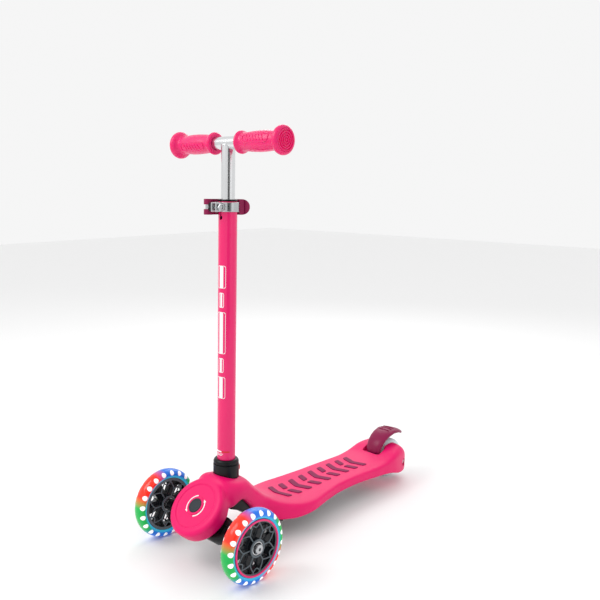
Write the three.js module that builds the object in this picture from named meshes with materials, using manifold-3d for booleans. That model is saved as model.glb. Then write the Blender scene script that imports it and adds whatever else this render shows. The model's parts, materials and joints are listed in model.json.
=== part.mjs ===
// Three-wheeled lean-to-steer kick scooter for small children.
// Millimetres, +X forward, +Y to the rider's left, +Z up, floor at z = 0.
import * as THREE from "three";
import { mergeVertices } from "three/addons/utils/BufferGeometryUtils.js";
import Module from "manifold-3d";

const wasm = await Module();
wasm.setup();

// ---- driving dimensions -------------------------------------------------
const GAP = 0.3; // clearance between pieces that touch
const FACETING = 0.48; // share of the fine facet count that turned pieces keep
const FRONT_WHEEL_R = 60;
const REAR_WHEEL_R = 40;
const WHEEL_W = 24;
const TRACK = 220; // between the front wheel centre planes
const WHEELBASE = 500;
const TAIL_SHIFT = (WHEELBASE + REAR_WHEEL_R - FRONT_WHEEL_R) / 2; // centres the length

const BOLT_R = 4;
const BEARING_R = 11;
const BEARING_W = 7;

const FACE_RISE = 37; // centre of the round front face above the axle
const FACE_X = 22;
const FACE_Z = FRONT_WHEEL_R + FACE_RISE;
const FACE_TILT = Math.PI / 4; // steering axis leans 45 degrees
const FACE_R = 50;
const HUB_R = 34;

const RAKE = THREE.MathUtils.degToRad(1);
const STEM_X = -43; // stem axis at floor level, from the front axle
const COLLAR_SEAT = FACE_Z + 30; // distances along the stem from the floor
const LOWER_TUBE_END = COLLAR_SEAT - 41;
const LOWER_TUBE_TOP = 581;
const BAR_RISE = 89.7; // lowest bar setting above the lower tube
const BAR_HEIGHT = LOWER_TUBE_TOP + BAR_RISE;
const UPPER_TUBE_END = LOWER_TUBE_TOP - 181;
const CLAMP_MID = LOWER_TUBE_TOP - 8.5;
const LATCH_Z = COLLAR_SEAT + 13;
const UPPER_TUBE_R = 11;
const UPPER_TUBE_WALL = 1.6;
const SLEEVE_ROOM = 2; // between upper and lower tube
const LOWER_TUBE_WALL = 2;
const LOWER_TUBE_R = UPPER_TUBE_R + SLEEVE_ROOM + LOWER_TUBE_WALL;
const BAR_R = 10;
const BAR_WIDTH = 248;
const GRIP_LENGTH = 96;
const SOCKET_R = LOWER_TUBE_R + 5; // boss round the foot of the stem

const WELL_HALF = WHEEL_W / 2 + 3.5;
const REAR_AXLE_X = -WHEELBASE;
const AXLE_RECESS = 35; // from the middle plane to the seat of the rear bolt head
const HINGE_X = REAR_AXLE_X + 49.5;
const HINGE_Z = 57;
const PRESS = THREE.MathUtils.degToRad(10); // travel of the foot brake
const PAD_CLEARANCE = 0.6; // left between brake and tyre at the end of its travel

// Deck stations: x, half width, top, rim, bottom, squareness of the crown.
// The neck is placed from the front axle, the tail from the rear axle, and
// the middle runs between the two.
const NECK = [
  [-12, 40, COLLAR_SEAT - 2, COLLAR_SEAT - 29, COLLAR_SEAT - 32, 2.2],
  [-25, 42, COLLAR_SEAT - 0.4, COLLAR_SEAT - 27, COLLAR_SEAT - 36, 2.6],
  [-45, 41, COLLAR_SEAT - 0.2, COLLAR_SEAT - 22, COLLAR_SEAT - 28, 3],
  [-62, 38, COLLAR_SEAT - 1, COLLAR_SEAT - 26, COLLAR_SEAT - 42, 3],
  [-72, 36, COLLAR_SEAT - 8, COLLAR_SEAT - 34, COLLAR_SEAT - 52, 2.8],
  [-85, 34, COLLAR_SEAT - 19, COLLAR_SEAT - 47, COLLAR_SEAT - 68, 2.6],
  [-100, 34, 95, 65, 45, 2.6],
  [-112, 38, 84, 56, 40, 2.8],
  [-128, 47, 74, 50, 36, 3.2],
  [-150, 56, 66, 47, 33.5, 3.6],
];
const MIDDLE = [
  [0.054, 61.5, 62.5, 46.3, 33.5, 4],
  [0.107, 64, 60, 46, 34.5, 4],
  [0.179, 65, 58.5, 46.2, 36.5, 4],
  [0.25, 62, 58.5, 48.3, 38, 4],
  [0.321, 58, 59, 50.7, 38.8, 4],
  [0.464, 51.5, 60.3, 54.6, 39.8, 4],
  [0.607, 50, 60.5, 54.8, 40.4, 4],
  [0.75, 50, 59.7, 53, 39.2, 4],
  [0.893, 51.2, 58.5, 51.6, 36.5, 4],
];
const TAIL = [
  [70, 52.3, 61, 53, 34.2, 3.8],
  [53, 52.5, 66.5, 55, 32, 3.6],
  [38, 52, 72, 58, 28, 3.4],
  [20, 49, 76.5, 59, 22, 3.2],
  [0, 44, 76, 56, 20, 3],
  [-15, 36, 65, 47, 20, 2.8],
  [-24, 26, 50, 38, 25, 2.4],
];
const NECK_END = NECK[NECK.length - 1][0];
const TAIL_START = REAR_AXLE_X + TAIL[0][0];
const DECK = [
  ...NECK,
  ...MIDDLE.map(([t, ...rest]) => [NECK_END + t * (TAIL_START - NECK_END), ...rest]),
  ...TAIL.map(([dx, ...rest]) => [REAR_AXLE_X + dx, ...rest]),
];
const SKIN = 4; // wall of the moulded deck
const HOLLOW_FRONT = NECK_END + 10;
const HOLLOW_BACK = TAIL_START + 6;
const PLATE_Z = 42;
const RIB_BASE = PLATE_Z + 2.5;
const SCREW_TOP = PLATE_Z + 12;
const SCREW_Y = 36;
const SCREWS = [HOLLOW_FRONT - 45, HOLLOW_BACK + 39].flatMap((x) => [[x, SCREW_Y], [x, -SCREW_Y]]);
const INLAY_FRONT = HOLLOW_FRONT - 18;
const INLAY_BACK = HOLLOW_BACK + 16;
const INLAY_HALF = 27;

// Black cover under the neck: x from the front axle, half width, lowest level.
const COVER = [
  [-34, 28, 80], [-45, 30, 76], [-62, 29, 66], [-72, 28, 59], [-85, 27, 49], [-100, 28, 38],
  [-112, 31, 34.5], [-128, 38, 31.5], [-138, 44, 31],
];

// Brake stations: x from the rear axle, z, half width, thickness.
const FENDER = [
  [53, 63, 16, 4.4],
  [50.8, 71, 17, 4.8],
  [47.2, 79.5, 18, 5],
  [41.5, 87.5, 19, 5],
  [33, 94.5, 20, 5],
  [21, 100.6, 21, 5],
  [4, 104.8, 21.8, 5],
  [-14, 102.8, 21.2, 4.6],
  [-29, 97.2, 18, 4],
  [-40, 91, 10, 3.4],
];
const BASE_HALF = 19; // widest stretch of the brake that dips into the deck

// ---- finishes -----------------------------------------------------------
function finish(color, roughness, metalness = 0) {
  return new THREE.MeshStandardMaterial({ color, roughness, metalness });
}
const PINK = finish(0xf0146e, 0.42);
const PINK_PAINT = finish(0xf0125f, 0.28, 0.1);
const RUBBER_PINK = finish(0xee2468, 0.6);
const BURGUNDY = finish(0x96103f, 0.5);
const BLACK = finish(0x161618, 0.55);
const GREY = finish(0x4c5257, 0.5);
const ALUMINIUM = finish(0xc9ccd0, 0.3, 1);
const STEEL = finish(0xa9acb0, 0.35, 1);
const CLEAR = finish(0xbfe6ea, 0.2);
const LED = finish(0xf4f6f4, 0.4);
const RED = finish(0xd8322c, 0.45);

// ---- solids -------------------------------------------------------------
// A closed geometry as a solid, with its faces turned outwards.
function solid(geometry) {
  geometry.deleteAttribute("normal");
  geometry.deleteAttribute("uv");
  const merged = mergeVertices(geometry, 1e-4);
  const position = merged.attributes.position;
  const tris = [];
  let volume = 0;
  const p = [0, 1, 2].map(() => new THREE.Vector3());
  for (let i = 0; i < merged.index.count; i += 3) {
    const t = [0, 1, 2].map((k) => merged.index.getX(i + k));
    if (t[0] === t[1] || t[1] === t[2] || t[2] === t[0]) {
      continue;
    }
    tris.push(t);
    p.forEach((v, k) => v.fromBufferAttribute(position, t[k]));
    volume += p[0].dot(p[1].cross(p[2]));
  }
  const turned = volume < 0 ? tris.map((t) => [t[0], t[2], t[1]]) : tris;
  return new wasm.Manifold(new wasm.Mesh({
    numProp: 3,
    vertProperties: new Float32Array(position.array),
    triVerts: new Uint32Array(turned.flat()),
  }));
}

function geometryOf(body) {
  const mesh = body.getMesh();
  const geometry = new THREE.BufferGeometry();
  geometry.setAttribute("position", new THREE.BufferAttribute(mesh.vertProperties, 3));
  geometry.setIndex(new THREE.BufferAttribute(mesh.triVerts, 1));
  geometry.computeVertexNormals();
  return geometry;
}

function union(...bodies) {
  return bodies.reduce((a, b) => a.add(b));
}

function cut(body, ...tools) {
  return tools.reduce((a, b) => a.subtract(b), body);
}

function matrixOf(position, rotation = [0, 0, 0]) {
  return new THREE.Matrix4().compose(
    new THREE.Vector3(...position),
    new THREE.Quaternion().setFromEuler(new THREE.Euler(...rotation)),
    new THREE.Vector3(1, 1, 1),
  );
}

// Turned about Z from a closed list of [radius, z].
function turned(profile, segments, matrix = new THREE.Matrix4()) {
  const points = profile.map(([r, z]) => new THREE.Vector2(r, z));
  points.push(points[0].clone());
  const facets = segments > 6 ? 2 * Math.round((segments * FACETING) / 2) : segments;
  const geometry = new THREE.LatheGeometry(points, facets);
  geometry.rotateX(Math.PI / 2);
  geometry.applyMatrix4(matrix);
  return solid(geometry);
}

function rod(radius, z0, z1, segments = 24, matrix = undefined, chamfer = 0) {
  const c = chamfer;
  const profile = c > 0
    ? [[0, z0], [radius - c, z0], [radius, z0 + c], [radius, z1 - c], [radius - c, z1], [0, z1]]
    : [[0, z0], [radius, z0], [radius, z1], [0, z1]];
  return turned(profile, segments, matrix);
}

function ring(outer, inner, z0, z1, segments = 32, chamfer = 0, matrix = undefined) {
  const c = chamfer;
  const profile = c > 0
    ? [[inner, z0], [outer - c, z0], [outer, z0 + c], [outer, z1 - c], [outer - c, z1], [inner, z1]]
    : [[inner, z0], [outer, z0], [outer, z1], [inner, z1]];
  return turned(profile, segments, matrix);
}

function block(size, centre, rotation = [0, 0, 0]) {
  const geometry = new THREE.BoxGeometry(...size);
  geometry.applyMatrix4(matrixOf(centre, rotation));
  return solid(geometry);
}

// A flat outline of [x, y] raised from z0 to z1.
function raised(outline, z0, z1) {
  const shape = new THREE.Shape(outline.map(([x, y]) => new THREE.Vector2(x, y)));
  const geometry = new THREE.ExtrudeGeometry(shape, { depth: z1 - z0, bevelEnabled: false });
  geometry.translate(0, 0, z0);
  return solid(geometry);
}

// A body through a row of outlines that all have the same number of points.
function loft(outlines) {
  const count = outlines[0].length;
  const points = outlines.flat();
  const faces = [];
  for (let s = 0; s + 1 < outlines.length; s += 1) {
    for (let i = 0; i < count; i += 1) {
      const a = s * count + i;
      const b = s * count + ((i + 1) % count);
      faces.push(a, b, a + count, b, b + count, a + count);
    }
  }
  [0, outlines.length - 1].forEach((s) => {
    const middle = new THREE.Vector3();
    outlines[s].forEach((v) => middle.addScaledVector(v, 1 / count));
    points.push(middle);
    for (let i = 0; i < count; i += 1) {
      const a = s * count + i;
      const b = s * count + ((i + 1) % count);
      faces.push(...(s === 0 ? [points.length - 1, b, a] : [points.length - 1, a, b]));
    }
  });
  const geometry = new THREE.BufferGeometry();
  geometry.setAttribute("position", new THREE.Float32BufferAttribute(
    points.flatMap((v) => [v.x, v.y, v.z]), 3));
  geometry.setIndex(faces);
  return solid(geometry);
}

// A round wire wound into an open coil about Z.
function coil(radius, wire, z0, z1, turns, matrix = new THREE.Matrix4()) {
  const steps = turns * 10;
  const path = new THREE.CatmullRomCurve3(Array.from({ length: steps + 1 }, (_, i) => {
    const a = (i / steps) * turns * 2 * Math.PI;
    return new THREE.Vector3(radius * Math.cos(a), radius * Math.sin(a), z0 + ((z1 - z0) * i) / steps);
  }));
  const section = new THREE.Shape(Array.from({ length: 6 }, (_, i) => new THREE.Vector2(
    wire * Math.cos((i * Math.PI) / 3), wire * Math.sin((i * Math.PI) / 3))));
  const geometry = new THREE.ExtrudeGeometry(section, {
    steps, bevelEnabled: false, extrudePath: path,
  });
  geometry.applyMatrix4(matrix);
  return solid(geometry);
}

function hexagon(acrossCorners, z0, z1) {
  return turned([[0, z0], [acrossCorners, z0], [acrossCorners, z1], [0, z1]], 6);
}

function piece(parent, name, body, material, position = [0, 0, 0], rotation = [0, 0, 0]) {
  const mesh = new THREE.Mesh(geometryOf(body), material.clone());
  mesh.name = name;
  mesh.position.set(...position);
  mesh.rotation.set(...rotation);
  parent.add(mesh);
  return mesh;
}

function frameAt(parent, position, rotation = [0, 0, 0]) {
  const group = new THREE.Group();
  group.position.set(...position);
  group.rotation.set(...rotation);
  parent.add(group);
  return group;
}

const TO_Y = [-Math.PI / 2, 0, 0]; // turns a local +Z to +Y
const TO_MINUS_Y = [Math.PI / 2, 0, 0];
const ALONG_Y = matrixOf([0, 0, 0], TO_Y);
const TO_MINUS_X = matrixOf([0, 0, 0], [0, -Math.PI / 2, 0]);

const scooter = new THREE.Group();
scooter.name = "kick_scooter";
const chassis = frameAt(scooter, [TAIL_SHIFT, 0, 0]);
const stem = frameAt(chassis, [STEM_X, 0, 0], [0, -RAKE, 0]);
const steering = frameAt(chassis, [FACE_X, 0, FACE_Z], [0, FACE_TILT, 0]);

// ---- T-bar --------------------------------------------------------------
function buildBar() {
  const lowerBore = LOWER_TUBE_R - LOWER_TUBE_WALL;
  const saddle = rod(BAR_R + GAP, -30, 30, 32, matrixOf([0, 0, BAR_HEIGHT], TO_Y));
  const tube = cut(
    ring(UPPER_TUBE_R, UPPER_TUBE_R - UPPER_TUBE_WALL, UPPER_TUBE_END, BAR_HEIGHT - 0.4 * BAR_R, 32),
    saddle,
  );
  piece(stem, "upper_tube", tube, ALUMINIUM);
  const bush = ring(lowerBore - GAP, UPPER_TUBE_R + GAP, UPPER_TUBE_END + 2, UPPER_TUBE_END + 26, 32);
  piece(stem, "upper_guide_bush", bush, BLACK);
  const inner = BAR_WIDTH / 2 - GRIP_LENGTH;
  const end = inner + GRIP_LENGTH - 8.4;
  const bar = ring(BAR_R, BAR_R - UPPER_TUBE_WALL, -end, end, 32);
  piece(stem, "crossbar", bar, ALUMINIUM, [0, 0, BAR_HEIGHT], TO_Y);
  const len = GRIP_LENGTH;
  const profile = [
    [GAP, 0], [6, 0], [7.6, 1.6], [7.2, 4.4], [4.4, 6.8], [3.9, 13], [5.4, 0.32 * len], [5.9, 0.48 * len],
    [5.4, 0.625 * len], [3.9, len - 19], [4.4, len - 15.5], [10.4, len - 11.2], [11.8, len - 8],
    [11.6, len - 4.4], [8.6, len - 1.2], [3, len], [-BAR_R, len], [-BAR_R, len - 7.6], [GAP, len - 7.6],
  ].map(([wall, z]) => [BAR_R + wall, z]);
  const grip = turned(profile, 32);
  piece(stem, "left_grip", grip, RUBBER_PINK, [0, inner, BAR_HEIGHT], TO_Y);
  piece(stem, "right_grip", grip, RUBBER_PINK, [0, -inner, BAR_HEIGHT], TO_MINUS_Y);
}

// ---- lower tube and quick-release clamp ---------------------------------
function buildStem() {
  const r = LOWER_TUBE_R;
  const bore = r - LOWER_TUBE_WALL;
  const slit = block([8, 2.6, 40], [r, 0, LOWER_TUBE_TOP - 5]);
  const slitEnd = rod(3.2, 0, r + 9, 16, matrixOf([0, 0, LOWER_TUBE_TOP - 25], [0, Math.PI / 2, 0]));
  const latchHole = rod(4.2, 0, r + 9, 16, matrixOf([0, 0, LATCH_Z], [0, -Math.PI / 2, 0]));
  const tube = cut(ring(r, bore, LOWER_TUBE_END, LOWER_TUBE_TOP, 40), slit, slitEnd, latchHole);
  piece(stem, "lower_tube", tube, PINK_PAINT);
  const top = LOWER_TUBE_TOP;
  const inner = UPPER_TUBE_R + 0.25;
  const lip = top + GAP;
  const sleeve = turned([
    [inner, top - 26], [bore - GAP, top - 26], [bore - GAP, lip], [r, lip], [r, lip + 2], [r - 1.6, lip + 3],
    [inner, lip + 3],
  ], 32);
  piece(stem, "tube_sleeve", cut(sleeve, block([10, 1.8, 60], [r, 0, top - 4])), BLACK);
  const foot = LOWER_TUBE_END + 1;
  piece(stem, "stem_end_plug", turned([
    [0, foot], [bore - GAP, foot], [bore - GAP, foot + 12], [bore - 2, foot + 14], [0, foot + 14],
  ], 24), BLACK);
}

function buildClamp() {
  const clamp = frameAt(stem, [0, 0, CLAMP_MID]);
  const r = LOWER_TUBE_R + GAP;
  const boltX = LOWER_TUBE_R + 8.5;
  const pinY = -LOWER_TUBE_R - 5;
  const earHole = rod(3.3, -30, 30, 16, matrixOf([boltX, 0, 0], TO_Y));
  const band = cut(
    union(
      ring(r + 2.9, r, -7.4, 7.4, 40, 0.8),
      block([14, 3.8, 14.8], [r + 8.2, 4.9, 0]),
      block([14, 3.8, 14.8], [r + 8.2, -4.9, 0]),
    ),
    block([20, 6, 20], [r + 8, 0, 0]),
    rod(r, -12, 12, 40),
    earHole,
  );
  piece(clamp, "clamp_band", band, STEEL);
  piece(clamp, "clamp_bolt", rod(3, pinY - 3, 11, 16, ALONG_Y), STEEL, [boltX, 0, 0]);
  const nut = cut(hexagon(6, 0, 5), rod(3 + GAP, -1, 6, 16));
  piece(clamp, "clamp_nut", nut, STEEL, [boltX, 6.8 + GAP, 0], TO_Y);
  const pin = cut(rod(4.5, -10.5, 10.5, 20), rod(3 + GAP, -8, 8, 16, ALONG_Y));
  piece(clamp, "clamp_pivot_pin", pin, STEEL, [boltX, pinY, 0]);
  const washer = cut(
    block([12, -pinY - 15.4, 13], [boltX, (pinY + 1.2) / 2, 0]),
    rod(7.3, -12, 12, 24, matrixOf([boltX, pinY, 0])),
    earHole,
  );
  piece(clamp, "cam_washer", washer, BLACK);
  piece(clamp, "clamp_lever", leverBody(boltX, pinY), BURGUNDY);
}

// The lever starts as a forked cam round the pivot pin, wraps the back of the
// band and ends in a paddle that flares away from the tube.
function leverBody(boltX, pinY) {
  const arc = (radius, from, to, steps) => Array.from({ length: steps + 1 }, (_, i) => {
    const a = THREE.MathUtils.degToRad(from + ((to - from) * i) / steps);
    return [radius * Math.cos(a), radius * Math.sin(a)];
  });
  const r = LOWER_TUBE_R;
  const inside = arc(r + 4.2, -62, -204, 14);
  const outside = arc(r + 8.4, -198, -66, 14);
  const outline = [
    [boltX - 4, pinY + 1], ...inside, [-r - 9.5, 12.2], [-r - 15.5, 15.4], [-r - 18.6, 15], [-r - 19.4, 13],
    [-r - 14.6, 8.8], ...outside, [boltX + 3, pinY - 6],
  ];
  const half = 12.2;
  const wrap = raised(outline, -half, half);
  const cam = rod(7, -half, half, 28, matrixOf([boltX, pinY, 0]));
  return cut(
    union(wrap, cam),
    rod(4.5 + GAP, -20, 20, 20, matrixOf([boltX, pinY, 0])),
    block([30, 20, 7.4], [boltX + 1, pinY + 2, 0]),
    block([16, 20, 15.6], [boltX - 1, pinY + 17.3, 0]),
    rod(r + 3.6, -20, 20, 40),
  );
}

// ---- collar -------------------------------------------------------------
function buildCollar() {
  const r = LOWER_TUBE_R + GAP;
  const base = COLLAR_SEAT + GAP;
  const hole = rod(8.7, 10, r + 25, 24,
    new THREE.Matrix4().makeTranslation(0, 0, LATCH_Z).multiply(TO_MINUS_X));
  const top = base + 24.3;
  const collar = turned([
    [r, base], [r + 5.7, base], [r + 6.2, base + 0.6], [r + 6.2, top - 1.2], [r + 5.3, top], [r, top],
  ], 40);
  piece(stem, "stem_collar", cut(collar, hole), BLACK);
  piece(stem, "collar_top_ring", turned([
    [r, top + GAP], [r + 4.5, top + GAP], [r + 4.5, top + 1.6], [r + 5.9, top + 2.2],
    [r + 5.9, top + 5], [r + 3.3, top + 8.8], [r, top + 8.8],
  ], 40), BLACK);
  const button = turned([
    [0, r - 3.3], [3.8, r - 3.3], [3.8, r + 3.5], [8.3, r + 3.5], [8.3, r + 8.7], [7.3, r + 9.7],
    [0, r + 9.9],
  ], 24, TO_MINUS_X);
  piece(stem, "release_button", button, RED, [0, 0, LATCH_Z]);
}

// ---- deck ---------------------------------------------------------------
function stationAt(x) {
  const i = DECK.findIndex((row, k) => k > 0 && x >= row[0]);
  const [a, b] = [DECK[i - 1], DECK[i]];
  const t = (x - a[0]) / (b[0] - a[0]);
  return a.map((v, k) => v + (b[k] - v) * t);
}

function crown(station, y, inset = 0) {
  const [, half, top, rim, , power] = station;
  const ratio = Math.min(Math.abs(y) / (half - inset), 1);
  return rim + (top - rim - inset) * (1 - ratio ** power) ** (1 / power);
}

function deckOutline(station, inset = 0, bottom = station[4]) {
  const [x, half, top, rim, , power] = station;
  const w = half - inset;
  const count = 16;
  const points = [[w - 3, bottom], [w - 0.6, bottom + 2.4]];
  for (let i = 0; i <= count; i += 1) {
    const a = (Math.PI * i) / count;
    const c = Math.cos(a);
    const y = w * Math.sign(c) * Math.abs(c) ** (2 / power);
    const z = rim + (top - inset - rim) * Math.abs(Math.sin(a)) ** (2 / power);
    points.push([y, z]);
  }
  points.push([-w + 0.6, bottom + 2.4], [-w + 3, bottom]);
  return points.map(([y, z]) => new THREE.Vector3(x, y, z));
}

function inSteering(body) {
  const m = matrixOf([FACE_X, 0, FACE_Z], [0, FACE_TILT, 0]);
  return body.transform(m.toArray());
}

function inStem(body) {
  return body.transform(matrixOf([STEM_X, 0, 0], [0, -RAKE, 0]).toArray());
}

function buildDeck() {
  const skin = loft(DECK.map((row) => deckOutline(row)));
  const drum = inSteering(turned([
    [0, -26], [FACE_R - 3, -26], [FACE_R, -22], [FACE_R, -6], [FACE_R - 1.6, -2.4], [FACE_R - 5, -0.4],
    [FACE_R - 8, 0], [0, 0],
  ], 56));
  const shoulders = inSteering(cut(
    rod(FACE_R, -38, -20, 56),
    block([2 * FACE_R, 2 * FACE_R + 4, 60], [FACE_R - 24, 0, -30]),
  ));
  const seat = inStem(union(
    rod(LOWER_TUBE_R + 8.6, COLLAR_SEAT - 26, COLLAR_SEAT, 40),
    rod(SOCKET_R, LOWER_TUBE_END - 5.4, COLLAR_SEAT - 20, 40),
  ));
  const hollowRows = [HOLLOW_FRONT, ...DECK.map((row) => row[0]), HOLLOW_BACK]
    .filter((x) => x <= HOLLOW_FRONT && x >= HOLLOW_BACK)
    .map((x) => deckOutline(stationAt(x), SKIN, 10));
  const bosses = SCREWS.map(([x, y]) => rod(5, PLATE_Z + 3.4, PLATE_Z + 15, 16, matrixOf([x, y, 0])));
  const pilots = SCREWS.map(([x, y]) => rod(1.9, 20, SCREW_TOP + 1, 12, matrixOf([x, y, 0])));
  const cavities = [
    rod(HUB_R + 2, -31, -14, 40),
    rod(22, -80, -30.9, 32),
    rod(12.4, -9, 12, 32),
    rod(BOLT_R + GAP, -20, -4, 20),
    rod(1.7, -20, -4, 12, matrixOf([LOCK_R, 0, 0])),
    ring(FACE_R - 10, 16, -1.4, 9, 56),
  ].map(inSteering);
  const hubPin = matrixOf([HINGE_X, 0, HINGE_Z], TO_Y);
  const axle = matrixOf([REAR_AXLE_X, 0, REAR_WHEEL_R], TO_Y);
  const shell = cut(
    union(cut(union(skin, drum, shoulders, seat), loft(hollowRows)), ...bosses),
    ...pilots,
    ...cavities,
    inStem(rod(LOWER_TUBE_R + GAP, LOWER_TUBE_END - 1.4, 180, 40)),
    block([14, 2 * WELL_HALF, 60], [HINGE_X + 1, 0, HINGE_Z + 23]),
    block([110, 2 * WELL_HALF, 160], [HINGE_X - 61, 0, 60]),
    block([27, 2 * BASE_HALF + 5, 60], [HINGE_X - 4.5, 0, HINGE_Z + 32.6]),
    rod(2.3, -WELL_HALF - 7.1, WELL_HALF + 7.1, 16, hubPin),
    rod(BOLT_R + GAP, -60, 60, 20, axle),
    rod(8.6, AXLE_RECESS, 60, 24, axle),
    rod(8.6, -60, -AXLE_RECESS, 24, axle),
  );
  piece(chassis, "deck_shell", shell, PINK);
  buildUnderside();
  buildInlay();
}

function buildUnderside() {
  const between = DECK.map((row) => row[0]).filter((x) => x < HOLLOW_FRONT - 2 && x > HOLLOW_BACK + 2);
  const rows = [HOLLOW_FRONT - 1, ...between, HOLLOW_BACK + 1];
  const middle = (HOLLOW_FRONT + HOLLOW_BACK) / 2;
  const span = HOLLOW_FRONT - HOLLOW_BACK - 22;
  const slab = (z0, z1) => loft(rows.map((x) => {
    const w = stationAt(x)[1] - SKIN - 0.9;
    return [[w, z0], [w, z1], [-w, z1], [-w, z0]].map(([y, z]) => new THREE.Vector3(x, y, z));
  }));
  const ribs = [-24, 0, 24].map((y) => block([span, 3, 9], [middle, y, RIB_BASE + 4.5]));
  const crossRibs = [-1, 0, 1].map((t) => block([3, 62, 8], [middle + (t * span) / 4, 0, RIB_BASE + 4]));
  const holes = SCREWS.map(([x, y]) => rod(2, 20, 60, 12, matrixOf([x, y, 0])));
  const plate = cut(union(slab(PLATE_Z, PLATE_Z + 3), ...ribs, ...crossRibs), ...holes);
  piece(chassis, "deck_underside", plate, BLACK);
  SCREWS.forEach(([x, y], i) => {
    const screw = union(
      rod(1.5, PLATE_Z - 1, SCREW_TOP, 12),
      rod(3.6, PLATE_Z - 2, PLATE_Z - GAP, 16, undefined, 0.4),
    );
    piece(chassis, `deck_screw_${i + 1}`, screw, STEEL, [x, y, 0]);
  });
  const cover = loft(COVER.map(([x, half, low]) => {
    const high = stationAt(x)[4] - GAP;
    const c = Math.min(3, (high - low) / 3);
    return [[half, low + c], [half, high], [-half, high], [-half, low + c], [c - half, low], [half - c, low]]
      .map(([y, z]) => new THREE.Vector3(x, y, z));
  }));
  const socket = inStem(rod(SOCKET_R + GAP, LOWER_TUBE_END - 5.8, 200, 40));
  piece(chassis, "neck_cover", cut(cover, socket), BLACK);
}

// A thin ribbed rubber panel that follows the crown of the deck.
function buildInlay() {
  const steps = 14;
  const ys = Array.from({ length: 7 }, (_, i) => INLAY_HALF * (1 - i / 3));
  const rows = Array.from({ length: steps + 1 }, (_, i) => {
    const x = INLAY_FRONT + ((INLAY_BACK - INLAY_FRONT) * i) / steps;
    const station = stationAt(x);
    const lift = (y, h) => new THREE.Vector3(x, y, crown(station, y) + h);
    return [...ys.map((y) => lift(y, 1.3)), ...[...ys].reverse().map((y) => lift(y, 0.4))];
  });
  piece(chassis, "grip_inlay", loft(rows), BURGUNDY);
}

// ---- steering lock, pivot and axle beam ---------------------------------
function buildSteering() {
  const button = cut(
    turned([[0, -6.5], [12, -6.5], [12, 0.4], [11, 1.4], [0, 1.6]], 32),
    rod(9, -12, -1.2, 28),
  );
  piece(steering, "lock_button", button, GREY);
  piece(steering, "lock_pin", rod(1.4, -14.3, -6.8, 12), STEEL, [LOCK_R, 0, 0]);
  piece(steering, "pivot_bolt", turned([
    [0, -62], [6.8, -62], [7.5, -61.2], [7.5, -57], [BOLT_R, -57], [BOLT_R, -4.8], [0, -4.8],
  ], 24), STEEL);
  const nut = cut(hexagon(7, -8.7, -5.2), rod(BOLT_R + GAP, -12, 0, 20));
  piece(steering, "pivot_nut", nut, STEEL);
  piece(steering, "axle_beam", beamBody(), BLACK);
  piece(steering, "centring_bush_front", ring(7.2, BOLT_R + GAP, -28, -15.2, 24), BLACK);
  piece(steering, "centring_bush_rear", ring(7.2, BOLT_R + GAP, -56.5, -44, 24), BLACK);
}

const AXLE_U = (-FACE_X + FACE_Z - FRONT_WHEEL_R) * Math.SQRT1_2;
const AXLE_W = (-FACE_X - FACE_Z + FRONT_WHEEL_R) * Math.SQRT1_2;
const LOCK_R = 10.4; // lock pin, off the pivot
const BEAM_HALF = TRACK / 2 - WHEEL_W / 2 - 4.7;

function beamBody() {
  const arm = [[0.48, 22, 13], [0.68, 13.5, 11.5], [0.9, 10.5, 10.5], [1, 9.5, 9.5]];
  const stations = [...[...arm].reverse().map(([t, a, b]) => [-t, a, b]), ...arm];
  const bar = loft(stations.map(([t, a, b]) => {
    const [c, d] = [a - b * 0.45, b * 0.55];
    return [[a, d], [c, b], [-c, b], [-a, d], [-a, -d], [-c, -b], [c, -b], [a, -d]]
      .map(([u, w]) => new THREE.Vector3(AXLE_U + u, t * BEAM_HALF, AXLE_W + w));
  }));
  const pockets = [-1, 1].flatMap((side) => [0.37, 0.52, 0.66, 0.81].map((t) => block(
    [13, 0.11 * BEAM_HALF, 14], [AXLE_U, side * t * BEAM_HALF, AXLE_W + 13])));
  const bores = [-1, 1].map((side) => rod(BOLT_R + GAP, BEAM_HALF - 40, BEAM_HALF + 30, 20,
    matrixOf([AXLE_U, 0, AXLE_W], side > 0 ? TO_Y : TO_MINUS_Y)));
  return cut(
    union(
      bar,
      rod(HUB_R, -30.4, -15, 40),
      rod(20, AXLE_W, -30, 32),
      rod(13, -56.7, AXLE_W, 24),
    ),
    ...pockets.map((p) => p.subtract(rod(HUB_R, -60, -10, 32))),
    ...bores,
    rod(7.5, -80, -5, 24),
    ring(LOCK_R + 2.2, LOCK_R - 2.2, -17.2, -5, 40),
  );
}

// ---- wheels -------------------------------------------------------------
// All wheels are built about local Z, outer face towards +Z.
function bearing() {
  return ring(BEARING_R, BOLT_R + GAP, -BEARING_W / 2, BEARING_W / 2, 24);
}

function hubBody(outer) {
  const half = WHEEL_W / 2;
  const pocket = half - BEARING_W - 0.5;
  const bore = BEARING_R + GAP;
  return turned([
    [9, -pocket], [bore, -pocket], [bore, -half], [outer, -half], [outer, half], [bore, half],
    [bore, pocket], [9, pocket],
  ], 32);
}

function spokes(count, from, fork, to, width, half) {
  const arms = [];
  for (let i = 0; i < count; i += 1) {
    const a = (2 * Math.PI * i) / count;
    const place = (r, angle) => [r * Math.cos(angle), r * Math.sin(angle), 0];
    arms.push(block([fork - from, width, 2 * half], place((from + fork) / 2, a), [0, 0, a]));
    [-1, 1].forEach((side) => {
      const b = a + side * 0.24;
      arms.push(block([to - fork + 4, width * 0.8, 2 * half - 1], place((fork + to) / 2 - 1, b),
        [0, 0, a + side * 0.66]));
    });
  }
  return union(...arms);
}

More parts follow.
